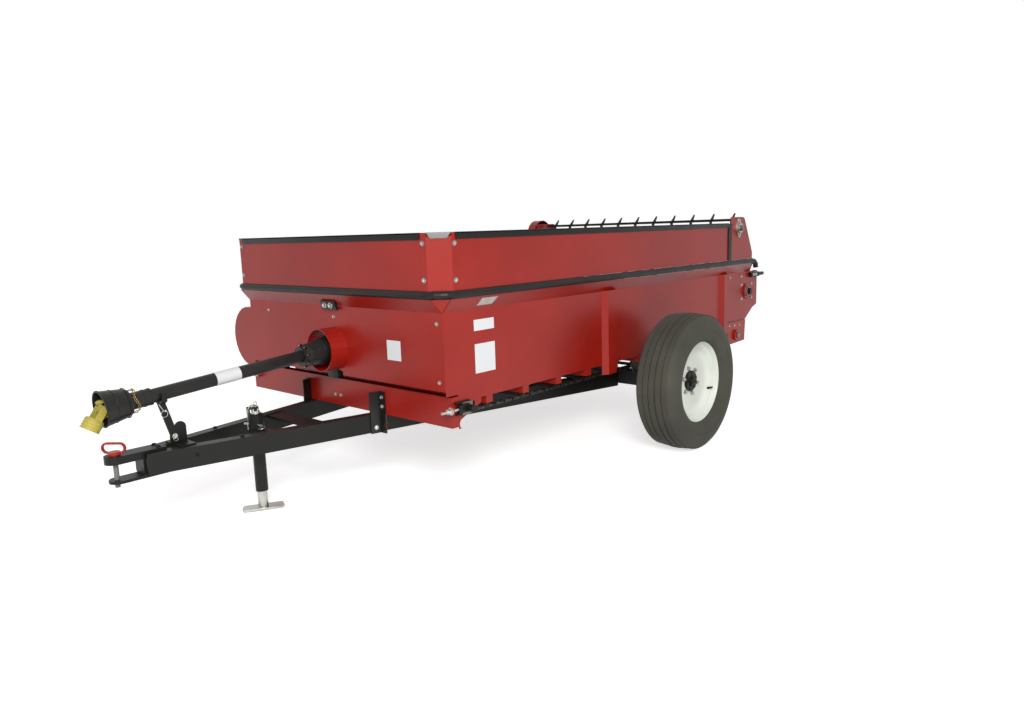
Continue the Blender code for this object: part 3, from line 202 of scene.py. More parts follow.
def grey_shank(material):
    """The hitch pin's shank is bare steel below the upper jaw; its head and handle are painted."""
    tree = material.node_tree
    shader = tree.nodes["Principled BSDF"]
    paint = shader.inputs["Base Color"].links[0].from_socket
    height = add(tree, "ShaderNodeSeparateXYZ",
                 links=[("Vector", add(tree, "ShaderNodeTexCoord").outputs["Object"])]).outputs["Z"]
    below = add(tree, "ShaderNodeMath", [(1, 0.3868)], [(0, height)], operation="LESS_THAN").outputs[0]
    mix = add(tree, "ShaderNodeMix", [("B", srgb("77756E"))], [("Factor", below), ("A", paint)], data_type="RGBA")
    tree.links.new(mix.outputs["Result"], shader.inputs["Base Color"])
    return material


RED_COAT = ("8C170C", "981B10", "A32518", (0.26, 0.38))
RED = sprayed_enamel("red_enamel", *RED_COAT)
SILL_RED = bracket_black(sprayed_enamel("sill_enamel", *RED_COAT))
BLACK = sprayed_enamel("black_enamel", "0C0C0B", "121210", "1D1C1A", (0.36, 0.54), 1.34)
PLATE_WHITE = sprayed_enamel("vinyl_plate", "DADBDC", "E3E4E5", "E9EAEA", (0.35, 0.45))
WHITE = sprayed_enamel("white_wheel_enamel", "D8DACF", "E6E9DF", "EEF0E8", (0.24, 0.36))
YELLOW = sprayed_enamel("yellow_yoke_paint", "A69A44", "BEAF50", "CFC16A", (0.40, 0.55))
PIN_RED = grey_shank(sprayed_enamel("red_pin_paint", "9A2018", "B02A20", "BC3A2E", (0.30, 0.45)))
CHAIN_STEEL = bare_metal("oiled_chain_steel", ("2A2826", "5A5651"), (0.35, 0.55), 60.0)
CHAIN_GOLD = bare_metal("passivated_chain", ("8C7448", "B59A68"), (0.35, 0.55), 90.0)
DARK_ZINC = bare_metal("weathered_galvanising", ("4A4A48", "6A6A67"), (0.40, 0.60), 22.0)
# Near-black painted shade for the inside of the holes in the tongue beams.
HOLE_SHADE_BLACK = sprayed_enamel("shadowed_hole", "050505", "070707", "090909", (0.8, 0.9))
GREY = sprayed_enamel("grey_cap_plastic", "7E7E7A", "8C8C88", "9A9A95", (0.40, 0.55))
STEEL = bare_metal("turned_steel", ("6E6B66", "8E8B85"), (0.30, 0.50))
ZINC = bare_metal("zinc_plate", ("A9A9A4", "C6C6C0"), (0.22, 0.38))
WOOD = planks()
PLASTIC = moulded_plastic()
RUBBER = tyre_rubber()

FINISH = {"red_enamel": RED, "black_enamel": BLACK, "wheel_white": WHITE, "yoke_yellow": YELLOW,
          "bare_steel": STEEL, "zinc_plate": ZINC, "floor_boards": WOOD, "black_plastic": PLASTIC,
          "tyre_rubber": RUBBER}
for part in frame["record"]["subparts"]:
    node = frame["nodes"][part["node"]]
    finish = {"hitch_pin": PIN_RED, "front_sill": SILL_RED}.get(part["node"], FINISH[part["material_slot"]])
    node.data.materials.clear()
    node.data.materials.append(finish)


# ---- Piece helpers ---------------------------------------------------------------
def finished(name, shape, material, body, smooth=30):
    """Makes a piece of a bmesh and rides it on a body."""
    mesh = bpy.data.meshes.new(name)
    shape.to_mesh(mesh)
    shape.free()
    item = bpy.data.objects.new(name, mesh)
    bpy.context.scene.collection.objects.link(item)
    mesh.materials.append(material)
    mesh.shade_smooth()
    mesh.set_sharp_from_angle(angle=math.radians(smooth))
    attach(item, body)
    return item


def cone(shape, radius, top_radius, depth, matrix, sides=6):
    """Adds a cone or prism that stands on the matrix's origin along its Z."""
    made = bmesh.ops.create_cone(shape, cap_ends=True, segments=sides, radius1=radius,
                                 radius2=top_radius, depth=depth)
    bmesh.ops.translate(shape, vec=(0, 0, depth / 2), verts=made["verts"])
    bmesh.ops.transform(shape, matrix=matrix, verts=made["verts"])


def facing(point, direction):
    """Matrix that puts Z along a direction at a point."""
    turn = Vector(direction).to_track_quat("Z", "Y").to_matrix().to_4x4()
    return Matrix.Translation(point) @ turn


def turned(profile, centre, steps):
    """Shape of a profile, given as (x, radius), turned about the axle."""
    shape = bmesh.new()
    verts = [shape.verts.new((a, 0, b)) for a, b in profile]
    edges = [shape.edges.new((verts[i], verts[(i + 1) % len(verts)])) for i in range(len(verts))]
    bmesh.ops.spin(shape, geom=verts + edges, cent=(0, 0, 0), axis=(1, 0, 0), angle=2 * math.pi,
                   steps=steps, use_merge=True)
    bmesh.ops.remove_doubles(shape, verts=shape.verts, dist=1e-5)
    bmesh.ops.translate(shape, vec=centre, verts=shape.verts)
    bmesh.ops.recalc_face_normals(shape, faces=shape.faces)
    return shape


# ---- Wheels ----------------------------------------------------------------------
TYRE_BEAD = 0.2113
GROOVE, RIB, RIBS = 0.0075, 0.0275, 5
RIM_SEAT, RIM_HOLE = 0.2135, 0.0555
DISC_X = 0.0125             # wheel disc outside the middle of the tyre
DISC_CREST = 0.0052         # its raised middle stands this far out
NUT_CIRCLE = 0.0725


def ribbed_tyre(side):
    """Five-rib implement tyre turned about the axle."""
    low, high = (Vector(v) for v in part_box(f"tyre_{side}"))
    centre = (low + high) / 2
    radius = (high.z - low.z) / 2
    half = (high.x - low.x) / 2
    crown = [(-half + 0.031, radius - 0.0100)]
    x = -2.5 * RIB - 2 * GROOVE
    for i in range(RIBS):
        drop = 0.0035 * abs(i - 2)
        crown += [(x, radius - drop), (x + RIB, radius - drop)]
        x += RIB
        if i < RIBS - 1:
            crown += [(x + 0.0015, radius - 0.012), (x + GROOVE - 0.0015, radius - 0.012)]
            x += GROOVE
    crown.append((half - 0.031, radius - 0.0100))
    wall = [(half - 0.022, radius - 0.0150), (half - 0.0145, radius - 0.0220), (half - 0.0085, radius - 0.0320),
            (half - 0.0040, radius - 0.0450), (half - 0.0010, radius - 0.0600), (half, radius - 0.0750),
            (half - 0.0005, radius - 0.0830), (half - 0.0030, radius - 0.0850), (half - 0.0032, radius - 0.0960),
            (half - 0.006, radius - 0.110), (half - 0.012, TYRE_BEAD + 0.018), (half - 0.020, TYRE_BEAD + 0.006),
            (half - 0.034, TYRE_BEAD)]
    shape = turned([(-a, b) for a, b in reversed(wall)] + crown + wall, centre, 120)
    tyre = finished(f"ribbed_tyre_{side}", shape, RUBBER, f"wheel_{side}", 40)
    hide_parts(f"tyre_{side}")


def pressed_rim(side):
    """Pressed steel wheel: safety humps, stepped well and dished disc, with the valve."""
    sign = 1 if side == "left" else -1
    low, high = (Vector(v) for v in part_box(f"rim_{side}"))
    centre = (low + high) / 2
    half, seat, hole, disc = (high.x - low.x) / 2, RIM_SEAT, RIM_HOLE, DISC_X
    outer = [(half, seat + 0.0025), (half + 0.0010, seat - 0.0005), (half - 0.0015, seat - 0.0040),
             (half - 0.006, seat - 0.0065), (half - 0.016, seat - 0.0085), (half - 0.026, seat - 0.0125),
             (0.046, seat - 0.0230), (0.036, seat - 0.0330), (disc + 0.0125, seat - 0.0405), (disc + 0.0075, 0.1640),
             (disc + 0.0055, 0.1560), (disc + 0.0040, 0.1460), (disc + 0.0040, 0.1120), (disc + DISC_CREST, 0.1040),
             (disc + DISC_CREST, hole)]
    inner = [(disc - 0.0045, hole), (disc - 0.0045, 0.1480), (disc - 0.0075, 0.1640), (-0.034, seat - 0.0380),
             (-half + 0.012, seat - 0.0220), (-half + 0.001, seat - 0.0120), (-half, seat),
             (-half + 0.004, seat + 0.002)]
    shape = turned([(sign * a, b) for a, b in outer + inner], centre, 112)
    rim = finished(f"pressed_rim_{side}", shape, WHITE, f"wheel_{side}", 28)
    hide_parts(f"rim_{side}")

    valve = bmesh.new()
    angle = math.radians(-112)
    foot = centre + Vector((sign * 0.036, 0.176 * math.sin(-angle), 0.176 * math.cos(angle)))
    cone(valve, 0.0065, 0.0045, 0.030, facing(foot, (sign, 0, 0.25)), 16)
    finished(f"valve_{side}", valve, PLASTIC, f"wheel_{side}")


def cast_hub(side):
    """Cast hub with six ears, its grease cap and the six wheel nuts."""
    sign = 1 if side == "left" else -1
    low, high = (Vector(v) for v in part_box(f"rim_{side}"))
    centre = (low + high) / 2
    out = (sign, 0, 0)
    hub = bmesh.new()
    place = centre + Vector((sign * (DISC_X + DISC_CREST), 0, 0))
    cone(hub, 0.050, 0.047, 0.010, facing(place, out), 48)
    for i in range(6):
        a = math.radians(60 * i + 15)
        ear = place + Vector((0, 0.041 * math.sin(a), 0.041 * math.cos(a)))
        cone(hub, 0.0150, 0.0120, 0.014, facing(ear, out), 20)
    finished(f"hub_casting_{side}", hub, BLACK, f"wheel_{side}")
    cap = bmesh.new()
    crest = place + Vector((sign * 0.010, 0, 0))
    cone(cap, 0.0290, 0.0275, 0.008, facing(crest, out), 40)
    cone(cap, 0.0220, 0.0190, 0.010, facing(crest + Vector((sign * 0.008, 0, 0)), out), 40)
    cone(cap, 0.0060, 0.0040, 0.006, facing(crest + Vector((sign * 0.018, 0, 0)), out), 12)
    finished(f"hub_cap_{side}", cap, BLACK, f"wheel_{side}")
    nuts = bmesh.new()
    for i in range(6):
        a = math.radians(60 * i + 45)
        point = place + Vector((-sign * 0.0005, NUT_CIRCLE * math.sin(a), NUT_CIRCLE * math.cos(a)))
        cone(nuts, 0.0118, 0.0112, 0.0035, facing(point, out), 24)
        cone(nuts, 0.0108, 0.0098, 0.0115, facing(point, out), 6)
        cone(nuts, 0.0058, 0.0046, 0.0165, facing(point, out), 12)
    finished(f"wheel_nuts_{side}", nuts, ZINC, f"wheel_{side}")


for side in ("left", "right"):
    ribbed_tyre(side)
    pressed_rim(side)
    cast_hub(side)


# ---- Plates, bars and rings ------------------------------------------------------
def bar(shape, low, high, edge=0.0):
    """Rectangular bar between two corners, its edges rounded off."""
    low, high = Vector(low), Vector(high)
    size = high - low
    made = bmesh.ops.create_cube(shape, size=1.0)["verts"]
    bmesh.ops.transform(shape, verts=made, matrix=Matrix.Translation((low + high) / 2)
                        @ Matrix.Diagonal((size.x, size.y, size.z, 1)))
    if edge:
        edges = list({e for v in made for e in v.link_edges})
        bmesh.ops.bevel(shape, geom=edges, offset=edge, segments=2, profile=0.5, affect="EDGES", material=-1)


def slab(shape, corners, depth):
    """Flat plate: a polygon of points pushed out by a depth vector."""
    face = shape.faces.new([shape.verts.new(c) for c in corners])
    made = bmesh.ops.extrude_face_region(shape, geom=[face], use_keep_orig=True)["geom"]
    bmesh.ops.translate(shape, vec=depth, verts=[v for v in made if isinstance(v, bmesh.types.BMVert)])
    bmesh.ops.recalc_face_normals(shape, faces=shape.faces)


def side_bar(shape, sign, x_range, low, high, edge=0.0):
    """Bar on one side of the machine, given by its reach from the middle and its (y, z) corners."""
    x_in, x_out = sorted(sign * x for x in x_range)
    bar(shape, at(x_in, *low), at(x_out, *high), edge)


def hoop(shape, radius, thick, matrix, sweep=360, sides=10, steps=32):
    """Round wire bent into a ring or part of one, about the matrix's Z."""
    made = bmesh.ops.create_circle(shape, cap_ends=False, radius=thick, segments=sides,
                                   matrix=Matrix.Translation((radius, 0, 0)) @ Matrix.Rotation(math.pi / 2, 4, "X"))
    edges = list({e for v in made["verts"] for e in v.link_edges})
    before = set(shape.verts) - set(made["verts"])
    full = sweep == 360
    bmesh.ops.spin(shape, geom=made["verts"] + edges, cent=(0, 0, 0), axis=(0, 0, 1), angle=math.radians(sweep),
                   steps=steps, use_merge=full)
    fresh = [v for v in shape.verts if v not in before]
    if not full:
        bmesh.ops.holes_fill(shape, edges=[e for v in fresh for e in v.link_edges if e.is_boundary])
    bmesh.ops.transform(shape, matrix=matrix, verts=fresh)
    bmesh.ops.recalc_face_normals(shape, faces=list({f for v in fresh for f in v.link_faces}))


def stick(shape, start, end, radius, sides=12):
    """Round bar between two points."""
    start, end = Vector(start), Vector(end)
    cone(shape, radius, radius, (end - start).length, facing(start, end - start), sides)


def dome_bolt(shape, point, direction, size=0.0085):
    """Flanged bolt head: washer, hexagon and a low crown."""
    direction = Vector(direction).normalized()
    point = Vector(point) - direction * 0.0003
    cone(shape, size * 1.25, size * 1.20, size * 0.22, facing(point, direction), 20)
    cone(shape, size, size * 0.94, size * 0.62, facing(point + direction * size * 0.20, direction), 6)
    cone(shape, size * 0.80, size * 0.45, size * 0.22, facing(point + direction * size * 0.80, direction), 16)


BOLTS = []          # (body, finish slot, point, direction, size)


def bolts(places, direction, size=0.0085, slot="zinc_plate"):
    """Notes bolt heads on the chassis; place_bolts makes them all at the end."""
    BOLTS.extend(("chassis", slot, point, direction, size) for point in places)


# ---- Apron chains ----------------------------------------------------------------
LOOP_Z, LOOP_R, IDLER_Y, DRIVE_Y, CHAIN_X = 0.4525, 0.0475, 0.105, 2.59, 0.655
LINKS = 88
LINKS_PER_SLAT = 4
LINK_PITCH = 2 * (DRIVE_Y - IDLER_Y + math.pi * LOOP_R) / LINKS


def loop_place(distance):
    """Height, place and slope of a point along the closed chain."""
    run, turn = DRIVE_Y - IDLER_Y, math.pi * LOOP_R
    distance %= 2 * (run + turn)
    if distance < run:
        return IDLER_Y + distance, LOOP_Z + LOOP_R, 0.0
    distance -= run
    if distance < turn:
        a = distance / LOOP_R
        return DRIVE_Y + LOOP_R * math.sin(a), LOOP_Z + LOOP_R * math.cos(a), a
    distance -= turn
    if distance < run:
        return DRIVE_Y - distance, LOOP_Z - LOOP_R, math.pi
    a = (distance - run) / LOOP_R
    return IDLER_Y - LOOP_R * math.sin(a), LOOP_Z - LOOP_R * math.cos(a), math.pi + a


def link_shape(shape, matrix):
    """One link of pintle chain: barrel, two side bars that step outwards, and the pin."""
    start = set(shape.verts)
    cone(shape, 0.0062, 0.0062, 0.0220, Matrix.Translation((-0.011, 0, 0))
         @ Matrix.Rotation(math.pi / 2, 4, "Y"), 12)
    for sign in (1, -1):
        outline = [(0.0095, -0.007), (0.0135, 0.020), (0.0135, LINK_PITCH + 0.004), (0.0115, LINK_PITCH + 0.004),
                   (0.0115, 0.019), (0.0075, -0.007)]
        slab(shape, [(sign * a, b, -0.0060) for a, b in outline], (0, 0, 0.0120))
    cone(shape, 0.0036, 0.0036, 0.0300, Matrix.Translation((-0.015, LINK_PITCH, 0))
         @ Matrix.Rotation(math.pi / 2, 4, "Y"), 10)
    made = [v for v in shape.verts if v not in start]
    bmesh.ops.transform(shape, matrix=matrix, verts=made)


def apron_chains():
    """Two chains of 60 mm links joined by angle-iron slats at every fourth link."""
    chains, slats = bmesh.new(), bmesh.new()
    for i in range(LINKS):
        y, z, a = loop_place(i * LINK_PITCH)
        y2, z2, _ = loop_place((i + 1) * LINK_PITCH)
        slope = math.atan2(z2 - z, y2 - y)
        for sign in (1, -1):
            place = Matrix.Translation(at(sign * CHAIN_X, y, z)) @ Matrix.Rotation(slope, 4, "X")
            link_shape(chains, place)
        if i % LINKS_PER_SLAT == 1:
            y, z, a = loop_place((i + 0.45) * LINK_PITCH)
            start = set(slats.verts)
            section = [(-0.0140, -0.0060), (0.0140, -0.0060), (0.0140, 0.0060), (0.0110, 0.0060),
                       (0.0110, -0.0030), (-0.0140, -0.0030)]
            reach = CHAIN_X - 0.0150
            slab(slats, [(-reach, b, c) for b, c in section], (2 * reach, 0, 0))
            made = [v for v in slats.verts if v not in start]
            bmesh.ops.transform(slats, matrix=Matrix.Translation(at(0, y, z)) @ Matrix.Rotation(-a, 4, "X"),
                                verts=made)
    links = finished("apron_chain_links", chains, CHAIN_STEEL, "chassis")
    bars = finished("apron_slats", slats, BLACK, "chassis")
    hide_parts("apron")
    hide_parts("apron")


apron_chains()


# ---- Front of the box ------------------------------------------------------------
def take_up(sign):
    """Tensioner of the apron's front shaft: black block, threaded rod, nuts and lug."""
    side = "left" if sign > 0 else "right"
    block, rod_steel, lug = bmesh.new(), bmesh.new(), bmesh.new()
    side_bar(block, sign, (0.7535, 0.7720), (0.052, 0.437), (0.112, 0.473), 0.003)
    stick(block, at(sign * 0.756, 0.105, LOOP_Z), at(sign * 0.802, 0.105, LOOP_Z), 0.0170, 24)
    for z in (0.4305, 0.4795):
        side_bar(block, sign, (0.7452, 0.7580), (0.044, z - 0.0035), (0.128, z + 0.0035), 0.001)
    x, z = sign * 0.7610, 0.455
    stick(rod_steel, at(x, -0.040, z), at(x, 0.060, z), 0.0062, 16)
    washer, nut, jam_nut = ((0.0160, 0.0160, 0.0025, 0.0115, 24), (0.0125, 0.0115, 0.0100, 0.0090, 6),
                            (0.0125, 0.0115, 0.0080, -0.0020, 6))
    for radius, top_radius, depth, y, corners in (washer, nut, jam_nut):
        cone(rod_steel, radius, top_radius, depth, facing(at(x, y, z), (0, -1, 0)), corners)
    side_bar(lug, sign, (0.7453, 0.7750), (0.0120, 0.437), (0.0180, 0.473), 0.001)
    side_bar(lug, sign, (0.7453, 0.7500), (0.0170, 0.437), (0.0420, 0.473), 0.001)
    finished(f"take_up_block_{side}", block, BLACK, "chassis")
    finished(f"take_up_rod_{side}", rod_steel, ZINC, "chassis")
    finished(f"take_up_lug_{side}", lug, RED, "chassis")


def blank_plate(name, corners, depth, material=None):
    """Plate with nothing on it, laid on a sheet."""
    shape = bmesh.new()
    slab(shape, corners, depth)
    finished(name, shape, material or PLATE_WHITE, "chassis")


def front_of_box():
    """Hose clamp under the flare, a flat black block of painted shade for the notch in the front panel's bottom edge,
    bolts and blank plates.
    """
    clamp = bmesh.new()
    lean = [at(x, y, z) for x, y, z in ((-0.056, -0.0165, 0.878), (0.053, -0.0165, 0.878), (0.053, -0.0045, 0.838),
                                        (-0.056, -0.0045, 0.838))]
    slab(clamp, lean, (0, -0.013, 0.002))
    finished("clamp_under_rail", clamp, BLACK, "chassis")
    bolts([at(-0.026, -0.0245, 0.860), at(0.020, -0.0245, 0.860)], (0, -0.96, -0.28), 0.0115)
    # Thin black block nearly flush with the front panel: painted shade standing for the dark notch in the panel's
    # bottom edge.
    notch_shade = bmesh.new()
    bar(notch_shade, at(-0.071, -0.0016, 0.5160), at(0.009, 0.028, 0.5565), 0.0006)
    finished("painted_notch_shade", notch_shade, BLACK, "chassis")
    bolts([at(0.004, 0, 0.805), at(0.712, 0, 0.812), at(-0.560, 0, 0.812), at(0.712, 0, 0.570)], (0, -1, 0), 0.0075)
    bolts([at(-0.063, SILL_FACE, 0.424), at(-0.021, SILL_FACE, 0.424)], (0, -1, 0), 0.0075)
    corners = ((0.385, 0.724), (0.476, 0.724), (0.476, 0.637), (0.385, 0.637))
    blank_plate("plate_front", [at(a, 0, b) for a, b in corners], (0, -PLATE_SKIN, 0))


def sides_of_box():
    """Blank plates, bearings, bolts and studs on both sides."""
    for sign in (1, -1):
        side = "left" if sign > 0 else "right"
        out = (sign, 0, 0)
        face = sign * BOX_HALF
        skin = (sign * PLATE_SKIN, 0, 0)
        if sign > 0:
            blank_plate("plate_side_upper", [at(face, a, b) for a, b in ((0.176, 0.811), (0.298, 0.811),
                                                                     (0.298, 0.764), (0.176, 0.764))], skin)
            blank_plate("plate_side_lower", [at(face, a, b) for a, b in ((0.177, 0.708), (0.299, 0.708),
                                                                     (0.299, 0.583), (0.177, 0.583))], skin)
            slope = [at(sign * (BOX_HALF + FLARE_OUT * (z - FLARE_LOW) / FLARE_RISE + 0.0004), y, z)
                     for y, z in ((0.190, 0.904), (0.288, 0.904), (0.275, 0.872), (0.182, 0.872))]
            blank_plate("plate_flare", slope, (PLATE_SKIN, 0, -0.0006), ZINC)
        stud = bmesh.new()
        side_bar(stud, sign, (BOX_HALF + 0.0003, BOX_HALF + 0.022), (2.786, 0.818), (2.905, 0.850), 0.003)
        stick(stud, at(face + sign * 0.012, 2.890, 0.834), at(face + sign * 0.012, 2.965, 0.834), 0.0120, 20)
        finished(f"gate_stud_{side}", stud, BLACK, "chassis")
        tip = bmesh.new()
        cone(tip, 0.0125, 0.0080, 0.020, facing(at(face + sign * 0.012, 2.963, 0.834), (0, 1, 0)), 20)
        finished(f"gate_stud_tip_{side}", tip, GREY, "chassis")
        bolts([at(face + sign * 0.022, 2.810, 0.834), at(face + sign * 0.022, 2.845, 0.834)],
              out, 0.0085)
        if sign > 0:
            bolts([at(face, 2.507, 0.832), at(face, 2.671, 0.830)], out, 0.0080)
            bearing = bmesh.new()
            plate = face + sign * 0.0003
            cone(bearing, 0.0470, 0.0450, 0.005, facing(at(plate, *LOWER_AXIS), out), 36)
            cone(bearing, 0.0360, 0.0320, 0.020, facing(at(plate, *LOWER_AXIS), out), 36)
            finished("lower_bearing", bearing, GREY, "chassis")
            lock = bmesh.new()
            cone(lock, 0.0240, 0.0235, 0.010, facing(at(plate + 0.018, *LOWER_AXIS), out), 28)
            cone(lock, 0.0180, 0.0165, 0.018, facing(at(plate + 0.018, *LOWER_AXIS), out), 28)
            finished("lower_shaft_end", lock, BLACK, "lower_rotor")
            bolts([at(face, LOWER_AXIS[0] + a, LOWER_AXIS[1] + b) for a in (-0.074, 0.074)
                                            for b in (-0.046, 0.046)], out, 0.0085)
            upper = bmesh.new()
            base = at(0.7905, *UPPER_AXIS)
            cone(upper, 0.0340, 0.0300, 0.020, facing(base, out), 36)
            for z in (-0.042, 0.042):
                cone(upper, 0.0180, 0.0160, 0.009, facing(base + Vector((0, 0, z)), out), 24)
            slab(upper, [base + Vector((0, a, b)) for a, b in ((-0.031, -0.010), (-0.017, -0.046), (0.017, -0.046),
                 (0.031, -0.010), (0.031, 0.010), (0.017, 0.046), (-0.017, 0.046), (-0.031, 0.010))], (0.0085, 0, 0))
            finished("upper_bearing", upper, ZINC, "chassis")
            bolts([base + Vector((0.008, 0, z)) for z in (-0.042, 0.042)], out, 0.0085)
            end = bmesh.new()
            cone(end, 0.0200, 0.0190, 0.012, facing(base + Vector((0.018, 0, 0)), out), 28)
            cone(end, 0.0140, 0.0130, 0.016, facing(base + Vector((0.018, 0, 0)), out), 24)
            finished("upper_shaft_end", end, STEEL, "upper_rotor")


def corner_caps():
    """Corner posts: raised tops, grey caps and four bolts each."""
    for sign in (1, -1):
        side = "left" if sign > 0 else "right"
        top, low = 1.1768, 1.1580
        corner = [(0.682, -0.0452), (0.7192, -0.0452), (0.7902, 0.0258), (0.7902, 0.0480)]
        rise = bmesh.new()
        for (a, b), (c, d) in ((corner[0], corner[1]), (corner[2], corner[3])):
            edge = Vector((c - a, d - b, 0)).normalized()
            out = Vector((edge.y, -edge.x, 0)) * 0.0030
            slab(rise, [at(sign * a, b, low), at(sign * c, d, low), at(sign * c, d, top), at(sign * a, b, top)],
                 Vector((sign * out.x, out.y, 0)) * -1.0)
        finished(f"post_top_{side}", rise, RED, "chassis")
        cap = bmesh.new()
        middle = Vector(((corner[1][0] + corner[2][0]) / 2, (corner[1][1] + corner[2][1]) / 2, 0))
        along = Vector((corner[2][0] - corner[1][0], corner[2][1] - corner[1][1], 0)).normalized()
        out = Vector((along.y, -along.x, 0))
        points = []
        for reach, z in ((-0.0500, top + 0.0010), (0.0500, top + 0.0010), (0.0330, 1.1535), (-0.0330, 1.1535)):
            p = middle + along * reach - out * 0.012
            points.append(at(sign * p.x, p.y, z))
        slab(cap, points, Vector((sign * out.x, out.y, 0)) * 0.0150)
        bmesh.ops.bevel(cap, geom=list(cap.edges), offset=0.0012, segments=2, profile=0.5, affect="EDGES", material=-1)
        finished(f"post_cap_{side}", cap, GREY, "chassis")
        bolts([at(sign * 0.699, -0.045, z) for z in (1.135, 0.990)], (0, -1, 0), 0.0088)
        bolts([at(sign * 0.790, 0.040, z) for z in (1.133, 0.988)], (sign, 0, 0), 0.0088)


def trim_lips():
    """Rubber edge trim: its lips reach down both faces of the extension sheets."""
    lips = bmesh.new()
    top, low = 1.1763, 1.1495
    for y_out in (-0.0512, -0.0405):
        bar(lips, at(-0.6815, y_out, low), at(0.6815, y_out + 0.0058, top), 0.0014)
    bar(lips, at(-0.6815, -0.0512, 1.1700), at(0.6815, -0.0347, 1.1775), 0.0020)
    for sign in (1, -1):
        for x_out in (0.7962, 0.7855):
            low_x, high_x = sorted((sign * x_out, sign * (x_out - 0.0058)))
            bar(lips, at(low_x, 0.0485, low), at(high_x, 2.3840, top), 0.0014)
        low_x, high_x = sorted((sign * 0.7962, sign * 0.7797))
        bar(lips, at(low_x, 0.0485, 1.1700), at(high_x, 2.3840, 1.1775), 0.0020)
    finished("trim_lips", lips, BLACK, "chassis")


trim_lips()
for sign in (1, -1):
    take_up(sign)
front_of_box()
sides_of_box()
corner_caps()


# ---- Tongue, hitch, jack and holder ----------------------------------------------
TONGUE_X0, TONGUE_SLOPE = 0.266, 0.224
TONGUE_TOP = 0.3747


def tongue_x(y):
    """Outer face of a tongue beam at a distance from the front panel."""
    return TONGUE_X0 + TONGUE_SLOPE * y


def tongue_trim():
    """Bolts of the sill's brackets and of the beams, and in each beam a ring and disc of near-black painted shade
    standing for the hole.
    """
    skew = Vector((1, -TONGUE_SLOPE, 0)).normalized()
    for sign in (1, -1):
        side = "left" if sign > 0 else "right"
        out = Vector((sign * skew.x, skew.y, 0))
        x = tongue_x(SILL_FACE)
        bolts([at(sign * (x + 0.020), SILL_FACE - 0.006, z) for z in (0.453, 0.411)],
              (0, -1, 0), 0.0085)
        bolts([at(sign * (tongue_x(0.002) + 0.0068), 0.002, 0.315)], out, 0.0088)
        # Black ring and thin disc on the beam's face: painted shade standing for the hole's depth.
        hole = bmesh.new()
        place = at(sign * (tongue_x(-0.745) + 0.0002), -0.745, 0.340)
        hoop(hole, 0.0078, 0.0016, facing(place, out), 360, 8, 24)
        cone(hole, 0.0070, 0.0070, 0.0006, facing(place, out), 24)
        finished(f"beam_hole_shade_{side}", hole, HOLE_SHADE_BLACK, "chassis")
        for y in (-0.860, -0.560):
            bolts([at(sign * (tongue_x(y) - 0.025), y, TONGUE_TOP)]
                  if y > -0.8 else [at(sign * 0.020, y, 0.3865)], (0, 0, 1), 0.0085, "black_enamel")


def jack_trim():
    """Screw head with its wire bail, folded crank, locking pin with a ring, and the formed foot."""
    x, y = JACK_AT
    head, wire, foot = bmesh.new(), bmesh.new(), bmesh.new()
    cone(head, 0.0185, 0.0175, 0.012, facing(at(x, y, 0.4300), (0, 0, 1)), 32)
    cone(head, 0.0130, 0.0110, 0.026, facing(at(x, y, 0.4395), (0, 0, 1)), 6)
    for k in range(4):
        a = math.radians(90 * k + 20)
        cone(head, 0.0048, 0.0040, 0.012, facing(at(x + 0.0115 * math.cos(a), y + 0.0115 * math.sin(a), 0.4400),
                                                 (0, 0, 1)), 8)
    finished("jack_screw_head", head, ZINC, "chassis")
    hoop(wire, 0.0135, 0.0016, Matrix.Translation(at(x, y, 0.4680)) @ Matrix.Rotation(math.radians(75), 4, "X"),
         360, 8, 28)
    points = [(-0.004, 0, 0.466), (-0.030, -0.004, 0.462), (-0.052, -0.006, 0.440), (-0.060, -0.006, 0.405),
              (-0.060, -0.006, 0.372)]
    for start, end in zip(points, points[1:]):
        stick(wire, at(x + start[0], y + start[1], start[2]), at(x + end[0], y + end[1], end[2]), 0.0030, 10)
    stick(wire, at(x - 0.060, y - 0.006, 0.352), at(x - 0.060, y - 0.006, 0.380), 0.0062, 14)
    stick(wire, at(x - 0.040, y - 0.034, 0.386), at(x - 0.015, y - 0.023, 0.386), 0.0045, 14)
    hoop(wire, 0.0150, 0.0013, Matrix.Translation(at(x + 0.062, y - 0.010, 0.3765))
         @ Matrix.Rotation(math.radians(8), 4, "X"), 360, 8, 28)
    stick(wire, at(x + 0.0235, y - 0.010, 0.386), at(x + 0.060, y - 0.010, 0.386), 0.0048, 14)
    finished("jack_wire", wire, ZINC, "chassis")
    turn = Matrix.Translation(at(x, y, 0)) @ Matrix.Rotation(math.radians(61), 4, "Z")
    for side in (1, -1):
        start = set(foot.verts)
        bar(foot, (-0.080, side * 0.0300 - 0.0028, 0.0006), (0.080, side * 0.0300 + 0.0028, 0.0122), 0.0012)
        bmesh.ops.transform(foot, matrix=turn, verts=[v for v in foot.verts if v not in start])
    start = set(foot.verts)
    slab(foot, [(a, b, 0.0086) for a, b in ((-0.086, -0.018), (-0.080, -0.0300), (0.080, -0.0300), (0.086, -0.018),
                                            (0.086, 0.018), (0.080, 0.0300), (-0.080, 0.0300), (-0.086, 0.018))],
         (0, 0, 0.0036))
    bmesh.ops.transform(foot, matrix=turn, verts=[v for v in foot.verts if v not in start])
    cone(foot, 0.0245, 0.0235, 0.0045, facing(at(x, y, 0.0088), (0, 0, 1)), 32)
    finished("jack_foot_pressing", foot, ZINC, "jack_foot_leg")


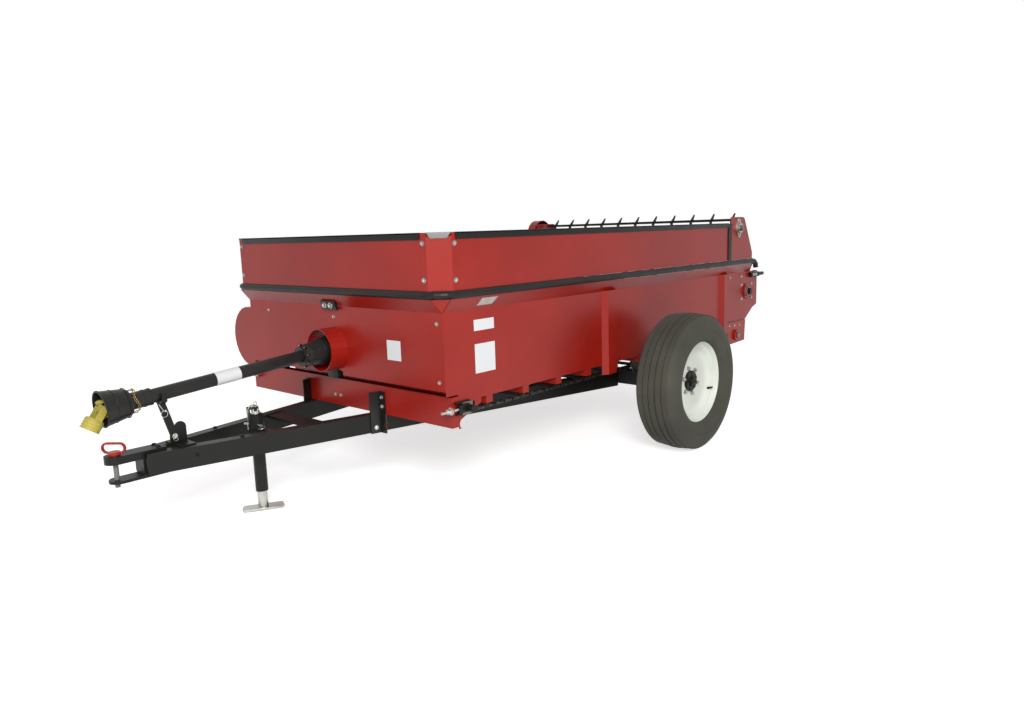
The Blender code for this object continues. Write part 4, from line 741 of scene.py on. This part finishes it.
def hoop_of_chain(name, middle, axis, radius, body, count=22, wave=0.006):
    """Safety chain draped round a bell's neck, its links turned in turns."""
    shape = bmesh.new()
    base = facing(middle, axis)
    for i in range(count):
        a = 2 * math.pi * i / count
        spot = Vector((radius * math.cos(a), radius * math.sin(a), wave * math.sin(3 * a)))
        along = Vector((-math.sin(a), math.cos(a), 0))
        turn = along.to_track_quat("X", "Z").to_matrix().to_4x4()
        roll = Matrix.Rotation(math.radians(90 * (i % 2) + 20), 4, "X")
        stretch = Matrix.Diagonal((1.55, 1.0, 1.0, 1))
        hoop(shape, 0.0048, 0.0014, base @ Matrix.Translation(spot) @ turn @ roll @ stretch, 360, 6, 12)
    finished(name, shape, CHAIN_GOLD, body, 60)


PTO_DOWN = math.radians(5.0)
PIVOT = (0, -0.030, 0.657)
CROSS_AT = 1.016            # universal joint, from the rear joint
YOKE_BEND = math.radians(50.0)
DRIVELINE_AHEAD = Vector((0, -math.cos(PTO_DOWN), -math.sin(PTO_DOWN)))


def down_line(distance, x=0.0, up=0.0):
    """Point on the driveline, measured from its rear joint, with an offset across it."""
    c, s = math.cos(PTO_DOWN), math.sin(PTO_DOWN)
    return at(PIVOT[0] + x, PIVOT[1] - distance * c - up * s, PIVOT[2] - distance * s + up * c)


def driveline_trim():
    """Mouldings of the guards: rolled lips, ribs, screws, a blank label and the safety chains."""
    forward = DRIVELINE_AHEAD
    front, rear = bmesh.new(), bmesh.new()
    hoop(front, 0.0698, 0.0024, facing(down_line(1.0175), forward), 360, 10, 64)
    hoop(front, 0.0575, 0.0022, facing(down_line(0.9290), forward), 360, 10, 56)
    hoop(front, 0.0635, 0.0012, facing(down_line(0.9760), forward), 360, 8, 56)
    for s, r in ((0.920, 0.0490), (0.862, 0.0345), (0.838, 0.0342)):
        cone(front, r, r, 0.007, facing(down_line(s - 0.0035), forward), 48)
    finished("front_bell_mouldings", front, PLASTIC, "driveline_front")
    hoop(rear, 0.0505, 0.0018, facing(down_line(0.1240), forward), 360, 8, 48)
    hoop(rear, 0.0600, 0.0016, facing(down_line(0.0600), forward), 360, 8, 56)
    cone(rear, 0.0465, 0.0455, 0.014, facing(down_line(0.1480), forward), 48)
    for k in range(8):
        a = 2 * math.pi * k / 8 + 0.2
        place = down_line(0.138, 0.0500 * math.cos(a), 0.0500 * math.sin(a))
        cone(rear, 0.0045, 0.0040, 0.014, facing(place, forward), 12)
    finished("rear_bell_mouldings", rear, PLASTIC, "driveline_rear")
    screws = bmesh.new()
    for k in range(8):
        a = 2 * math.pi * k / 8 + 0.2
        place = down_line(0.152, 0.0500 * math.cos(a), 0.0500 * math.sin(a))
        cone(screws, 0.0024, 0.0018, 0.0015, facing(place, forward), 10)
    finished("rear_bell_screws", screws, ZINC, "driveline_rear")
    label = bmesh.new()
    made = bmesh.ops.create_cone(label, cap_ends=False, segments=48, radius1=0.0283, radius2=0.0283, depth=0.108)
    bmesh.ops.transform(label, matrix=facing(down_line(0.517), forward), verts=made["verts"])
    bmesh.ops.solidify(label, geom=label.faces[:], thickness=0.0004)
    finished("driveline_label", label, PLATE_WHITE, "driveline_front")
    hoop_of_chain("safety_chain", down_line(0.9000), forward, 0.0440, "driveline_front")


def yoke_trim():
    """Bearing caps, grease nipple and the sliding collar of the outer yoke."""
    joint = down_line(CROSS_AT)
    forward = DRIVELINE_AHEAD
    up = Vector((0, -math.sin(PTO_DOWN), math.cos(PTO_DOWN)))
    caps = bmesh.new()
    for sign in (1, -1):
        cone(caps, 0.0125, 0.0115, 0.0035, facing(joint + up * sign * 0.0300, up * sign), 28)
        cone(caps, 0.0095, 0.0060, 0.0025, facing(joint + up * sign * 0.0330, up * sign), 24)
    cone(caps, 0.0030, 0.0022, 0.010, facing(joint + forward * 0.011, forward), 10)
    finished("inner_yoke_caps", caps, YELLOW, "yoke")
    a = PTO_DOWN + YOKE_BEND
    hang = Vector((0, -math.cos(a), -math.sin(a)))
    across = Vector((1, 0, 0))
    ring, bearing = bmesh.new(), bmesh.new()
    for sign in (1, -1):
        cone(bearing, 0.0125, 0.0115, 0.0030, facing(joint + across * sign * 0.0302, across * sign), 28)
    finished("outer_yoke_caps", bearing, YELLOW, "outer_yoke")
    for s, r, thick in ((0.0500, 0.0349, 0.0016), (0.0610, 0.0349, 0.0012), (0.0720, 0.0349, 0.0012),
                        (0.0830, 0.0342, 0.0020)):
        hoop(ring, r, thick, facing(joint + hang * s, hang), 360, 10, 48)
    finished("outer_yoke_collar", ring, YELLOW, "outer_yoke")


def holder_trim():
    """Hinge pin with its washer, and the spring clip near the top of the holder."""
    pin, clip = bmesh.new(), bmesh.new()
    base = at(0, *HOLDER_HINGE)
    stick(pin, base + Vector((0.0046, 0, 0)), base + Vector((0.0140, 0, 0)), 0.0058, 20)
    cone(pin, 0.0110, 0.0108, 0.0022, facing(base + Vector((0.0048, 0, 0)), (1, 0, 0)), 24)
    hoop(pin, 0.0090, 0.0012, Matrix.Translation(base + Vector((0.0115, 0, -0.010)))
         @ Matrix.Rotation(math.radians(90), 4, "Y"), 360, 8, 24)
    finished("holder_hinge_pin", pin, ZINC, "chassis")
    place = at(0.0045, -0.8160, 0.520)
    stick(clip, place + Vector((-0.0130, 0, 0)), place + Vector((0.0120, 0, 0)), 0.0042, 16)
    hoop(clip, 0.0130, 0.0016, Matrix.Translation(place + Vector((0.0085, -0.004, -0.012)))
         @ Matrix.Rotation(math.radians(90), 4, "Y"), 360, 8, 28)
    stick(clip, place + Vector((0.0090, -0.006, 0.002)), place + Vector((0.0090, -0.022, 0.030)), 0.0016, 8)
    finished("holder_clip", clip, ZINC, "holder")


tongue_trim()
jack_trim()
driveline_trim()
yoke_trim()
holder_trim()


# ---- Rear of the box -------------------------------------------------------------
def rear_plates():
    """Galvanised take-off plate of the apron's rear shaft on each side, with its bolts."""
    for sign in (1, -1):
        side = "left" if sign > 0 else "right"
        face = sign * (BOX_HALF + 0.0002)
        plate = bmesh.new()
        outline = [(2.463, 0.554), (2.481, 0.418), (2.704, 0.418), (2.711, 0.426), (2.714, 0.532)]
        slab(plate, [at(face, a, b) for a, b in outline], (sign * 0.0030, 0, 0))
        finished(f"rear_shaft_plate_{side}", plate, DARK_ZINC, "chassis")
        places = [at(face + sign * 0.0030, y, 0.521 - 0.05 * (y - 2.5)) for y in (2.500, 2.571, 2.644)]
        bolts(places, (sign, 0, 0), 0.0078)


rear_plates()


# ---- Stage, light and camera -----------------------------------------------------
SKY = 0.36                  # strength of the sky's light
FLOOR_GLOW = 0.66
CAMERA_AT = (2.97706, -2.05208, 1.17558)
CAMERA_TURN = (42.2097, 9.1392, -1.8050)     # degrees: left, down, roll
CAMERA_LENS = 26.693


def background_rays(tree, rays):
    """1 for rays that should meet the white background: seen directly, in gloss or through glass."""
    seen = rays.outputs["Is Camera Ray"]
    for kind in ("Is Glossy Ray", "Is Transmission Ray"):
        seen = add(tree, "ShaderNodeMath", links=[(0, seen), (1, rays.outputs[kind])], operation="MAXIMUM").outputs[0]
    return seen


def pale_floor():
    """Matt white studio floor, lit to white wherever no shadow falls."""
    material, tree, shader = surface("pale_floor")
    shader.inputs["Base Color"].default_value = srgb("F2F2F1")
    shader.inputs["Roughness"].default_value = 0.9
    shader.inputs["Emission Color"].default_value = srgb("FFFFFF")
    rays = add(tree, "ShaderNodeLightPath")
    seen = background_rays(tree, rays)
    tree.links.new(add(tree, "ShaderNodeMath", [(1, FLOOR_GLOW)], [(0, seen)], operation="MULTIPLY").outputs[0],
                   shader.inputs["Emission Strength"])
    return material


def stage():
    """Floor that catches the shadow and is left out of the export."""
    shape = bmesh.new()
    bmesh.ops.create_grid(shape, x_segments=1, y_segments=1, size=40)
    mesh = bpy.data.meshes.new("studio_floor")
    shape.to_mesh(mesh)
    shape.free()
    floor = bpy.data.objects.new("studio_floor", mesh)
    mesh.materials.append(pale_floor())
    bpy.context.scene.collection.objects.link(floor)


def lamp(name, place, target, size, energy):
    """Round area lamp aimed at a point."""
    light = bpy.data.lights.new(name, "AREA")
    light.shape = "DISK"
    light.size = size
    light.energy = energy
    item = bpy.data.objects.new(name, light)
    item.location = place
    item.rotation_euler = (Vector(target) - Vector(place)).to_track_quat("-Z", "Y").to_euler()
    bpy.context.scene.collection.objects.link(item)


def daylight():
    """Soft grey sky that the eye and the gloss see as white."""
    world = bpy.data.worlds.new("soft_sky")
    bpy.context.scene.world = world
    world.use_nodes = True
    tree = world.node_tree
    rays = add(tree, "ShaderNodeLightPath")
    seen = background_rays(tree, rays)
    sky = tree.nodes["Background"]
    sky.inputs["Color"].default_value = srgb("EEF1F4")
    sky.inputs["Strength"].default_value = SKY
    white = add(tree, "ShaderNodeBackground", [("Color", srgb("FFFFFF")), ("Strength", 1.0)])
    mix = add(tree, "ShaderNodeMixShader", links=[(0, seen), (1, sky.outputs[0]), (2, white.outputs[0])])
    tree.links.new(mix.outputs[0], tree.nodes["World Output"].inputs["Surface"])


def camera():
    """Three-quarter view from the front left, slightly above the box."""
    yaw, pitch, roll = (math.radians(v) for v in CAMERA_TURN)
    ahead = Vector((-math.sin(yaw) * math.cos(pitch), math.cos(yaw) * math.cos(pitch), -math.sin(pitch)))
    right = Vector((math.cos(yaw), math.sin(yaw), 0))
    up = right.cross(ahead)
    right, up = (math.cos(roll) * right + math.sin(roll) * up, -math.sin(roll) * right + math.cos(roll) * up)
    data = bpy.data.cameras.new("camera")
    data.sensor_width = 36
    data.lens = CAMERA_LENS
    data.clip_end = 200
    item = bpy.data.objects.new("camera", data)
    turn = Matrix((right, up, -ahead)).transposed().to_4x4()
    item.matrix_world = Matrix.Translation(at(*CAMERA_AT)) @ turn
    bpy.context.scene.collection.objects.link(item)
    bpy.context.scene.camera = item


def place_bolts():
    """One mesh of bolt heads for each body and finish."""
    groups = {}
    for body, slot, point, direction, size in BOLTS:
        groups.setdefault((body, slot), []).append((point, direction, size))
    for (body, slot), places in sorted(groups.items()):
        shape = bmesh.new()
        for point, direction, size in places:
            dome_bolt(shape, point, direction, size)
        finished(f"bolts_{body}_{slot}", shape, FINISH[slot], body)


place_bolts()
stage()
lamp("key", (5.0, -4.6, 3.6), (0, 0, 0.6), 2.6, 375)
daylight()
camera()
bpy.context.scene.view_settings.view_transform = "Standard"
